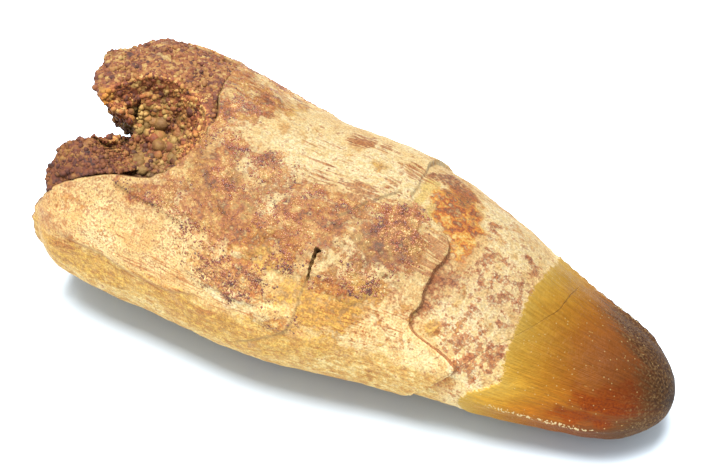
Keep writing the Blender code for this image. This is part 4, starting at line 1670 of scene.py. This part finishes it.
    def build_grains(self, rings: Array, station: Array, girth: Array, layer: Array) -> None:
        """Strews loose grains of sand over the crust.

        Args:
            rings: The outside rings' points.
            station: Their stations.
            girth: The columns' girth angles.
            layer: The share of the root's layer.
        """
        form, rough = self.form, self.grit.rough
        place = form.on_section(station, girth, 0.0)
        cover = form.cover(station, girth, self.sand, rough(self.strewn_edge, place))
        weight = soft_step(*self.strewn_rise, cover) * layer
        drifts = soft_step(*self.drift_rise, rough(self.strewn_drifts, place))
        weight = weight * (self.strewn_least + drifts)
        weight = weight * (1 - soft_step(*self.strewn_end, girth))
        finish = CrustGrainFinish().make()
        for number, seed in enumerate(self.grain_seeds):
            grains = GrainBed(seed, self.grain_count, self.grain_radii, sunk=0.5, power=3.0)
            points, faces, _, draws = grains.lay(rings, weight)
            piece = build_piece(f"crust_grains_{number + 1}", points, [faces], 180.0)
            mark_piece(piece, Mark.TINT, draws)
            piece.data.materials.append(finish)

    def mark_skin(
        self, skin: Skin, piece: bpy.types.Object, station: Array, girth: Array, layer: Array
    ) -> None:
        """Stores the marks that the finish reads.

        Args:
            skin: The tooth's rings.
            piece: Its piece.
            station: The outside rings' stations.
            girth: The columns' girth angles.
            layer: The share of the root's layer.
        """
        extra = len(skin.rings) - len(station)
        marks = self.line_marks(station, girth) | self.patch_marks(station, girth, layer)
        for mark, values in (marks | self.crown_marks(station, girth)).items():
            inside = np.full((extra, len(girth)), INSIDE_VALUES.get(mark, 0.0))
            skin.mark(piece, mark, np.concatenate([values + 0 * station, inside]))
        angle = np.radians(girth + 0 * station)
        way = [station, self.way_radius * np.cos(angle), self.way_radius * np.sin(angle)]
        # Painted light and shade: darker where the surface faces the top light, lighter low on the
        # near side and beneath
        bright, lost = self.shade
        lit = soft_step(*self.shade_rise, np.cos(angle - math.radians(self.shade_angle)))
        for mark, parts in ((Mark.WAY, way), (Mark.SHADE, [bright - lost * lit] * 3)):
            values = np.stack(parts, axis=-1)
            skin.mark(piece, mark, np.concatenate([values, np.repeat(values[-1:], extra, 0)]))

    def line_marks(self, station: Array, girth: Array) -> dict[Mark, Array]:
        """How far each place is from the lines that run round the tooth, and where they show.

        Args:
            station: The outside rings' stations.
            girth: The columns' girth angles.

        Returns:
            The values of each mark, for rings by columns.
        """
        form = self.form
        ledge = ring_curve(form.ledge_angles, form.ledge_reach, girth)
        ledge = self.ragged_line(ledge, girth, self.ledge_ragged)
        crack = ring_curve(form.crack_angles, form.crack_reach, girth)
        lean = np.hypot(1, np.gradient(crack, np.radians(girth) * 9.5))
        far_side = soft_step(80, 83, girth) * (1 - soft_step(103, 108, girth)) * 0.8
        near_side = soft_step(134, 139, girth) * (1 - soft_step(186, 192, girth)) * 0.7
        hairline = ring_curve(form.crown_crack_angles, form.crown_crack_reach, girth)
        hairline_lean = np.hypot(1, np.gradient(hairline, np.radians(girth) * 8))
        shows = soft_step(52, 60, girth) * (1 - soft_step(172, 180, girth))
        below, groove = self.shoulder(station, girth)
        reach = smooth_curve(self.recess_angles, self.recess_reach, np.clip(girth, 80, 170))
        past = station - ledge
        return {
            Mark.PAST_ENAMEL: station - ring_curve(form.enamel_angles, form.enamel_reach, girth),
            Mark.PAST_LEDGE: past,
            Mark.FROM_CRACK: (station - crack) / lean,
            Mark.CRACK_SHOWS: far_side + near_side,
            Mark.FROM_CROWN_CRACK: (station - hairline) / hairline_lean,
            Mark.CROWN_CRACK_SHOWS: shows * (0.5 + 0.5 * soft_step(100, 90, girth)),
            Mark.FROM_SHOULDER: below,
            Mark.SHOULDER_SHOWS: groove,
            # Strongest against the ledge's step and fading away from it: partly painted shade
            Mark.RECESS: np.clip(1 - past / reach, 0, 1) * (past > -0.05) * (reach > 0.15),
        }

    def patch_marks(self, station: Array, girth: Array, layer: Array) -> dict[Mark, Array]:
        """How far stains, sand, pores and flecks cover each place.  The patches' places are pulled
        about by waves, and their edges wander.

        Args:
            station: The outside rings' stations.
            girth: The columns' girth angles.
            layer: The share of the root's layer.

        Returns:
            The values of each mark, for rings by columns.
        """
        form, rough = self.form, self.grit.rough
        place = form.on_section(station, girth, 0.0)
        wander = rough(self.stain_edge, place)
        along = station + rough(self.pulled_along, place)
        around = girth + np.degrees(rough(self.pulled_around, place) / form.section(station)[0])
        patches = {
            Mark.SAND: self.sand, Mark.DARK_SAND: self.dark_sand, Mark.OCHRE: self.ochre,
            Mark.RUST: self.rust, Mark.ORANGE: self.orange, Mark.DARK_RUST: self.dark_rust,
            Mark.FILM: self.film, Mark.BROWN: self.brown, Mark.PALE: self.pale,
            Mark.STRIPES: self.stripes, Mark.GLOW: self.glow,
        }
        marks = {key: form.cover(along, around, row, wander) for key, row in patches.items()}
        for mark in (Mark.ORANGE, Mark.DARK_RUST, Mark.BROWN):
            marks[mark] = marks[mark] * (1 - layer)
        for mark in (Mark.SAND, Mark.RUST):
            marks[mark] = marks[mark] * layer
        pores = soft_step(108, 124, girth) * (1 - soft_step(166, 180, girth))
        pores = pores * (1 - soft_step(13, 20, station))
        back = 0.55 * (1 - soft_step(8, 24, station)) * soft_step(185, 210, girth)
        marks[Mark.PORES] = np.maximum(pores, back)
        past = station - ring_curve(form.enamel_angles, form.enamel_reach, girth)
        under = soft_step(160, 176, girth) * (1 - soft_step(335, 355, girth))
        marks[Mark.UNDERSIDE] = under * (1 - soft_step(-3, 0, past))
        flecked = form.cover(station, girth, self.flecked, wander)
        marks[Mark.MOTTLE] = self.fleck_least + self.fleck_more * flecked
        return marks

    def crown_marks(self, station: Array, girth: Array) -> dict[Mark, Array]:
        """Where the tip is dark and the cutting edges are worn pale.

        Args:
            station: The outside rings' stations.
            girth: The columns' girth angles.

        Returns:
            The values of each mark, for rings by columns.
        """
        past_dark = station - smooth_curve(self.dark_tip_angles, self.dark_tip_reach, girth)
        near = np.exp(-((turn_from(girth, 182) / 3.2) ** 2)) * soft_step(42.5, 44.5, station)
        near = near * (1 - soft_step(52, 55, station))
        far = 0.8 * np.exp(-((turn_from(girth, 33) / 4) ** 2)) * soft_step(45, 47, station)
        return {
            Mark.TIP: soft_step(*self.dark_tip_rise, past_dark),
            Mark.CUTTING_EDGE: np.maximum(near, far * (1 - soft_step(53, 55, station))),
            Mark.INSIDE: np.zeros_like(station),
        }


@dataclass
class SandstoneFill:
    """The sandstone in the root: rings round an axis of its own, scooped, notched and lumpy."""

    form: ToothForm
    grit: Grit
    columns: int = 400
    deep_rows: int = 6
    face_rows: int = 150
    end_rows: int = 60
    sharp: float = 180.0
    gap: float = -0.12
    rim_clear_angle: float = 1.0
    axis_stations: tuple = (8.0, 19.0)
    axis_at_base: tuple = (3.8, 8.0)
    axis_deep: tuple = (-0.8, 7.5)
    depth: float = 24.5
    face: float = 18.0
    end_angles: tuple = (
        0, 40, 67, 83, 94, 101, 106, 112, 115.5, 119, 121, 122.5, 124.5, 128, 132, 133.5, 135.5,
        137, 139, 143, 146, 149, 151, 161, 174, 200, 280, 360,
    )
    end_reach: tuple = (
        2.0, 0.7, -0.3, -0.5, -0.5, -0.45, 0.0, 0.7, 1.4, 2.4, 3.3, 4.5, 5.0, 4.5, 3.7, 3.1,
        2.3, 1.6, 1.1, 0.7, 0.5, 0.2, 0.6, 1.2, 1.6, 2.2, 3.0, 2.0,
    )
    end_middle: float = 4.2
    end_power: int = 6
    end_waves: tuple = ((0.3, 1.3), (0.15, 0.6))
    end_turns: Rough = Rough(14.0, 3.0)
    crowd: float = 20.0
    crowd_angle: float = 127.0
    longest_ray: float = 20.0
    halvings: int = 20
    swells: Rough = Rough(0.75, 2.4)
    packed: tuple = ((1.3, 0.55), (0.62, 0.34))
    packed_sunk: float = 0.7
    lumps_sunk: float = 0.2
    least_reach: float = 0.8
    middle_fade: float = 0.1
    lobe_side: tuple = (-6.5, -3.5)
    bare_rows: tuple = (20, 2)
    hollows: tuple = (
        ((7.4, -2.9, 22.3), (5.6, 5.6, 8.2)),
        ((9.0, -5.4, 16.4), (3.2, 2.4, 2.6)),
        ((5.9, -5.0, 18.2), (2.4, 2.0, 2.4)),
        ((-2.5, 2.4, 10.5), (8.0, 6.5, 5.0)),
    )
    pebble_share: float = 0.8
    pebbles: tuple = (
        ((4.3, 3.6, 16.4), 0.9), ((6.8, 3.6, 15.4), 1.2), ((8.9, 4.1, 14.9), 1.5),
        ((8.9, 1.6, 14.6), 1.0), ((6.9, -3.2, 14.2), 1.3), ((12.4, -4.6, 15.4), 1.2),
        ((1.8, -8.2, 16.2), 1.4), ((2.0, 3.4, 17.6), 1.3),
    )
    olive_spots: tuple = (
        ((4.3, 2.6, 17.0), 1.7), ((6.8, 2.6, 16.0), 2.2), ((8.9, 2.6, 15.6), 2.3),
        ((9.4, 0.2, 14.6), 1.9), ((7.2, -3.0, 14.0), 2.2), ((8.4, -1.0, 14.0), 2.2),
        ((5.5, 0.6, 15.4), 1.9), ((4.6, -0.6, 15.6), 1.4),
    )
    mustard_spots: tuple = (
        ((0.6, -7.0, 16.8), 1.6), ((2.4, -7.8, 15.6), 1.4), ((1.8, -1.9, 18.4), 1.6),
        ((4.4, -6.4, 14.6), 1.6), ((3.4, -8.6, 14.2), 1.3), ((5.0, -9.0, 14.6), 1.2),
    )
    flakes: tuple = (((4.3, 5.7, 18.8), 0.62), ((5.0, 5.4, 18.9), 0.62))

    def limit(self, points: Array) -> Array:
        """Where the sandstone may be: inside the pulp cavity or, where the wall is broken away, out
        to the tooth's own outline.

        Args:
            points: Points in space.

        Returns:
            How far past that limit each point is, below 0 inside it.
        """
        form = self.form
        station, y, z = points[..., 0], points[..., 1], points[..., 2]
        inside, past_base = np.clip(station, 0, form.cavity_depth), np.clip(station, 0, None)
        half_width, half_height, centre_y, centre_z = form.section(inside)
        girth = np.degrees(np.arctan2((z - centre_z) / half_height, (y - centre_y) / half_width))
        turns = np.linspace(-self.rim_clear_angle, self.rim_clear_angle, 5)
        lines = [ring_curve(form.rim_angles, form.rim_reach, girth + turn) for turn in turns]
        open_wall = station < np.min(lines, axis=0)
        inner = form.on_cavity(inside, girth, self.gap)
        rounding = (1 + form.end_rounding(past_base)) / 2
        outer = form.on_section(past_base, girth, form.layer, rounding)
        edge = np.where(open_wall[..., None], outer, inner)
        reach = np.hypot(edge[..., 1] - centre_y, edge[..., 2] - centre_z)
        return np.hypot(y - centre_y, z - centre_z) - reach

    def cuts(self, points: Array) -> Array:
        """Where an ellipsoid scoops the sandstone out.

        Args:
            points: Points in space.

        Returns:
            How far inside an ellipsoid each point is, roughly in millimetres.
        """
        made = []
        for centre, radii in self.hollows:
            offset = (points - np.array(centre)) / np.array(radii)
            made.append((1 - np.linalg.norm(offset, axis=-1)) * min(radii))
        return np.maximum.reduce(made)

    def surface(self, points: Array) -> Array:
        """Above 0 outside the scooped sandstone."""
        return np.maximum(self.limit(points), self.cuts(points))

    def last_inside(self, starts: Array, directions: Array, outside_of: Any) -> Array:
        """How far each ray goes before it comes out, by halving.

        Args:
            starts: Where the rays start.
            directions: Which way they go.
            outside_of: What gives a number above 0 for points that are outside.

        Returns:
            The distance to the last place inside, in millimetres.
        """
        near = np.zeros(starts.shape[:-1])
        far = np.full(starts.shape[:-1], self.longest_ray)
        for _ in range(self.halvings):
            middle = (near + far) / 2
            out = outside_of(starts + directions * middle[..., None]) > 0
            near, far = np.where(out, near, middle), np.where(out, middle, far)
        return near

    def lumps(self, points: Array) -> Array:
        """The lumps on the stone: waves, packed round grains of two sizes, and larger pebbles.

        Args:
            points: Points in space.

        Returns:
            How far the lumps stand out at each point, in millimetres.
        """
        lumps = self.grit.rough(self.swells, points)
        for size, height in self.packed:
            away, draw = self.grit.grains(points, size)
            domes = np.sqrt(np.clip(1 - away**2, 0, 1)) - self.packed_sunk
            lumps = lumps + height * (0.5 + draw) * domes
        for centre, radius in self.pebbles:
            away = np.linalg.norm(points - np.array(centre), axis=-1) / radius
            lumps = lumps + self.pebble_share * radius * np.clip(1 - away**2, 0, 1)
        return lumps

    def rings(self) -> Array:
        """Lays out the surface, from the deep end to the broken end and over that to the middle:
        rays out from the axis that end at the cavity's wall or at the scooped face, with lumps.

        Returns:
            The rings' points, rings by columns.
        """
        even = np.arange(self.columns) * 360 / self.columns
        girth = np.mod(even - self.crowd * np.sin(np.radians(even - self.crowd_angle)), 360)
        end = ring_curve(self.end_angles, self.end_reach, girth)
        place = self.form.on_section(end, girth, 0.0)
        for height, size in self.end_waves:
            end = end + height * self.grit.waves(place, size)
        deep = np.linspace(self.depth, self.face, self.deep_rows + 1)[:-1, None] + 0 * girth
        share = np.linspace(0, 1, self.face_rows + 1)[:, None]
        station = np.concatenate([deep, self.face + (end - self.face) * share])
        share = soft_step(*self.axis_stations, station)[..., None]
        axis = np.array(self.axis_at_base) * (1 - share) + np.array(self.axis_deep) * share
        starts = np.concatenate([station[..., None], axis], axis=-1)
        turn = np.radians(girth)
        directions = np.stack([0 * turn, np.cos(turn), np.sin(turn)], axis=-1) + 0 * starts
        limit = self.last_inside(starts, directions, self.limit)
        reach = self.last_inside(starts, directions, self.surface)
        lumps = self.lumps(starts + directions * reach[..., None])
        reach = np.minimum(limit, np.maximum(reach + lumps - self.lumps_sunk, self.least_reach))
        outer = starts + directions * reach[..., None]
        edge = outer[-1]
        middle = np.array([self.end_middle, *self.axis_at_base])
        share = np.linspace(1, 0, self.end_rows + 2)[1:-1, None, None]
        inner = middle + (edge - middle) * share
        inner[..., 0] = self.face / 2
        outward = np.array([-1.0, 0.0, 0.0]) + 0 * inner
        fade = soft_step(0, self.middle_fade, 1 - share[..., 0])
        place = middle + (edge - middle) * share
        turned = girth + self.grit.rough(self.end_turns, place, fade)
        end = end + ring_curve(self.end_angles, self.end_reach, turned)
        end = end - ring_curve(self.end_angles, self.end_reach, girth)
        face = inner[..., 0] - self.last_inside(inner, outward, self.cuts)
        face = np.maximum(face, middle[0] + (end - middle[0]) * share[..., 0] ** self.end_power)
        inner[..., 0] = face
        inner[..., 0] = face - self.lumps(inner) * fade
        return np.concatenate([outer, inner])

    def spots(self, points: Array, spots: Sequence[tuple]) -> Array:
        """How far round spots in space cover each point.

        Args:
            points: Points in space.
            spots: The middle and the radius of each spot.

        Returns:
            1 in the middle of a spot, fading to 0 past its radius.
        """
        cover = np.zeros(points.shape[:-1])
        for centre, radius in spots:
            away = np.linalg.norm(points - np.array(centre), axis=-1) / radius
            cover = np.maximum(cover, 1 - soft_step(*self.form.patch_edge, away))
        return cover

    def build(self) -> bpy.types.Object:
        """Makes the sandstone's skin, its marks and the grains that stand on it.

        Returns:
            The new piece, which stands for the sandstone's solid.
        """
        rings = self.rings()
        skin = Skin(rings, rings[0].mean(axis=0), rings[-1].mean(axis=0))
        piece = skin.build("sandstone_fill_rough", self.sharp)
        skin.mark(piece, Mark.OLIVE, self.spots(rings, self.olive_spots))
        skin.mark(piece, Mark.MUSTARD, self.spots(rings, self.mustard_spots))
        # Painted shade deep in the hollow, and the darker near lobe
        skin.mark(piece, Mark.SHADE_AND_DARK_LOBE, self.shade_and_dark_lobe_at(rings))
        skin.mark(piece, Mark.PALE, self.spots(rings, self.flakes))
        # Painted light in the window's hollow, and the near lobe's warmer, darker tone
        skin.mark(piece, Mark.SHADE, self.shade_at(rings))
        piece.data.materials.append(SandstoneFinish().make())
        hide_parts("sandstone_fill")
        self.build_grains(skin)
        return piece

    def shade_and_dark_lobe_at(self, points: Array) -> Array:
        """How far the stone is painted dark: painted shade deep in the hollow by the near wall's
        foot, and the near lobe's own darker stone.

        Args:
            points: Points in space.

        Returns:
            1 near the near wall's foot, 0 at the top, and between them on the near lobe.
        """
        station, side, height = np.moveaxis(points, -1, 0)
        low = (1 - soft_step(-5.5, 1.0, side)) * (1 - soft_step(13.5, 17.0, height))
        low = low * (1 - soft_step(14, 19, station))
        return np.maximum(low, 0.6 * (1 - soft_step(*self.lobe_side, side)))

    def shade_at(self, points: Array) -> Array:
        """What the stone's colour is multiplied by: painted light makes it bright in the window's
        hollow, where shade would fall, and it is warm and dark on the near lobe.

        Args:
            points: Points in space.

        Returns:
            Three factors for each point.
        """
        centre, radii = self.hollows[0]
        away = np.linalg.norm((points - np.array(centre)) / np.array(radii), axis=-1)
        window = 1 - soft_step(0.96, 1.12, away)
        lobe = 1 - soft_step(*self.lobe_side, points[..., 1])
        # Painted light in the window's hollow
        shade = 0.47 + 0.31 * window * (1 - lobe)
        return shade[..., None] * (1 - lobe[..., None] * np.array([0.0, 0.24, 0.6]))

    def build_grains(self, skin: Skin) -> None:
        """Scatters loose grains over the broken face, and larger lumps where it is olive.

        Args:
            skin: The sandstone's rings.
        """
        first, last = self.bare_rows
        rings = skin.rings[self.deep_rows + first : len(skin.rings) - last]
        finish = SandstoneFinish("sandstone_grain_finish", True).make()
        small = [
            GrainBed(seed, 6000, (0.1, 0.34), sunk=0.35, longest=12.0) for seed in (11, 12, 13)
        ]
        large = GrainBed(17, 110, (0.35, 0.72), sunk=0.45, longest=2.5)
        beds = [(bed, None) for bed in small] + [(large, self.spots(rings, self.olive_spots))]
        for number, (bed, weight) in enumerate(beds):
            points, faces, centres, draws = bed.lay(rings, weight)
            piece = build_piece(f"sandstone_grains_{number + 1}", points, [faces], 180.0)
            mark_piece(piece, Mark.TINT, draws)
            mark_piece(piece, Mark.OLIVE, self.spots(centres, self.olive_spots))
            mark_piece(piece, Mark.MUSTARD, self.spots(centres, self.mustard_spots))
            mark_piece(piece, Mark.SHADE_AND_DARK_LOBE, self.shade_and_dark_lobe_at(centres))
            mark_piece(piece, Mark.PALE, self.spots(centres, self.flakes))
            # Painted light in the window's hollow, and the near lobe's warmer, darker tone
            mark_piece(piece, Mark.SHADE, self.shade_at(centres))
            piece.data.materials.append(finish)


@dataclass
class GrainBed:
    """Grains of sand laid on a surface: small balls, stretched, dented, turned and sunk in."""

    seed: int
    count: int
    radii: tuple[float, float]
    power: float = 2.6
    sunk: float = 0.25
    longest: float = 0.8
    stretch: tuple = (0.75, 1.2)
    dents: tuple = (-0.12, 0.1)

    def ball(self) -> tuple[Array, Array]:
        """An octahedron with each face cut in four and its points pushed out to a sphere.

        Returns:
            Its 18 points and 32 triangles.
        """
        axes = [(1, 0, 0), (0, 1, 0), (-1, 0, 0), (0, -1, 0), (0, 0, 1), (0, 0, -1)]
        sides = [(0, 1, 4), (1, 2, 4), (2, 3, 4), (3, 0, 4)]
        sides += [(1, 0, 5), (2, 1, 5), (3, 2, 5), (0, 3, 5)]
        points = list(np.array(axes, float))
        middles: dict[tuple[int, int], int] = {}
        faces = []

        def middle(a: int, b: int) -> int:
            """Finds the point halfway between two others, or adds it.

            Args:
                a: The first point's number.
                b: The second point's number.

            Returns:
                The number of the point between them.
            """
            key = (min(a, b), max(a, b))
            if key not in middles:
                middles[key] = len(points)
                half = points[a] + points[b]
                points.append(half / np.linalg.norm(half))
            return middles[key]

        for a, b, c in sides:
            ab, bc, ca = middle(a, b), middle(b, c), middle(c, a)
            faces += [(a, ab, ca), (ab, b, bc), (ca, bc, c), (ab, bc, ca)]
        return np.array(points), np.array(faces)

    def lay(self, rings: Array, weight: Array | None = None) -> tuple[Array, Array, Array, Array]:
        """Lays the grains on random places of a ring surface, as often as a weight says.

        Args:
            rings: The surface's points, rows by columns.
            weight: How likely each place is, rows by columns, or even over the area.

        Returns:
            All points, all faces, each point's grain centre, and each point's draw from 0 to 1.
        """
        draw = np.random.default_rng(self.seed)
        corner = rings[:-1]
        along = rings[1:] - corner
        around = np.roll(corner, -1, axis=1) - corner
        normal = np.cross(along, around)
        area = np.linalg.norm(normal, axis=-1)
        short = np.maximum(np.linalg.norm(along, axis=-1), np.linalg.norm(around, axis=-1))
        short = short < self.longest
        chance = area * short if weight is None else area * short * weight[:-1]
        chosen = draw.choice(area.size, self.count, p=(chance / chance.sum()).ravel())
        normal = normal.reshape(-1, 3)[chosen] / (area.reshape(-1, 1)[chosen] + 1e-9)
        shift = draw.random((2, self.count, 1))
        across = np.roll(rings, -1, axis=1)
        near_side = corner.reshape(-1, 3)[chosen] + shift[0] * along.reshape(-1, 3)[chosen]
        start, end = (part.reshape(-1, 3)[chosen] for part in (across[:-1], across[1:]))
        spot = near_side * (1 - shift[1]) + (start + shift[0] * (end - start)) * shift[1]
        low, high = self.radii
        radius = low + (high - low) * draw.random((self.count, 1)) ** self.power
        centre = spot - normal * radius * self.sunk
        points, faces = self.ball()
        stretch = radius[..., None] * draw.uniform(*self.stretch, (self.count, 1, 3))
        dented = points[None] * (1 + draw.uniform(*self.dents, (self.count, len(points), 1)))
        spin, _ = np.linalg.qr(draw.normal(size=(self.count, 3, 3)))
        spin = spin * np.sign(np.linalg.det(spin))[:, None, None]
        placed = np.einsum("nij,npj->npi", spin, dented * stretch) + centre[:, None]
        numbers = faces[None] + np.arange(self.count)[:, None, None] * len(points)
        centres = np.repeat(centre, len(points), axis=0)
        draws = np.repeat(draw.random(self.count), len(points))
        return placed.reshape(-1, 3), numbers.reshape(-1, 3), centres, draws


@dataclass
class Studio:
    """The white floor, the soft lights and the camera."""

    target: tuple = (0.25, 0.63, 8.0)
    azimuth: float = 25.44
    elevation: float = 50.0
    distance: float = 300.0
    focal: float = 169.4
    aim_offset: tuple = (-2.345, 2.492)
    floor_size: float = 3.0
    sensor: float = 36.0
    clip: tuple = (0.01, 10.0)
    lit_place: tuple = (0, 0, 0.008)

    def camera(self) -> None:
        """Places the camera at the photograph's angle, aimed so that the framing is the same."""
        a, e = math.radians(self.azimuth), math.radians(self.elevation)
        back = Vector((math.sin(a) * math.cos(e), -math.cos(a) * math.cos(e), math.sin(e)))
        right = Vector((math.cos(a), math.sin(a), 0))
        up = back.cross(right)
        target = Vector(self.target)
        eye = (target + back * self.distance) * MM
        aim = (target + right * self.aim_offset[0] + up * self.aim_offset[1]) * MM
        data = bpy.data.cameras.new("camera")
        data.lens = self.focal
        data.sensor_width = self.sensor
        data.clip_start, data.clip_end = self.clip
        camera = bpy.data.objects.new("camera", data)
        bpy.context.scene.collection.objects.link(camera)
        camera.location = eye
        camera.rotation_mode = "QUATERNION"
        camera.rotation_quaternion = (aim - eye).to_track_quat("-Z", "Y")
        bpy.context.scene.camera = camera

    def light(self, name: str, place: tuple, size: float, power: float, colour: tuple) -> None:
        """Adds one square soft light aimed at the tooth.

        Args:
            name: The light's name.
            place: Where it hangs, in metres.
            size: The length of its side, in metres.
            power: Its power in watts.
            colour: Its colour.
        """
        data = bpy.data.lights.new(name, "AREA")
        data.size = size
        data.energy = power
        data.color = colour
        item = bpy.data.objects.new(name, data)
        bpy.context.scene.collection.objects.link(item)
        item.location = place
        item.rotation_mode = "QUATERNION"
        aim = Vector(self.lit_place) - Vector(place)
        item.rotation_quaternion = aim.to_track_quat("-Z", "Y")

    def build(self) -> None:
        """Makes the floor, the lights, the world and the camera."""
        half = self.floor_size / 2
        corners = [(-half, -half, 0), (half, -half, 0), (half, half, 0), (-half, half, 0)]
        mesh = bpy.data.meshes.new("floor")
        mesh.from_pydata(corners, [], [(0, 1, 2, 3)])
        floor = bpy.data.objects.new("floor", mesh)
        bpy.context.scene.collection.objects.link(floor)
        mesh.materials.append(FloorFinish().make())
        self.light("soft_top", (-0.05, 0.0, 0.56), 0.36, 12.3, (1.0, 0.995, 0.98))
        self.light("soft_front", (0.1, -0.5, 0.45), 0.5, 0.6, (1.0, 1.0, 1.0))
        world = bpy.data.worlds.new("studio")
        world.use_nodes = True
        background = world.node_tree.nodes["Background"]
        background.inputs[0].default_value = (1.0, 1.0, 1.0, 1.0)
        background.inputs[1].default_value = 1.0
        bpy.context.scene.world = world
        bpy.context.scene.view_settings.view_transform = "Standard"
        self.camera()


def main() -> None:
    """Builds the tooth, the sandstone and the studio."""
    logging.basicConfig(level=logging.INFO, format="%(message)s")
    form = ToothForm()
    Tooth(form, Grit(5)).build()
    SandstoneFill(form, Grit(9)).build()
    Studio().build()


if __name__ == "__main__":
    main()
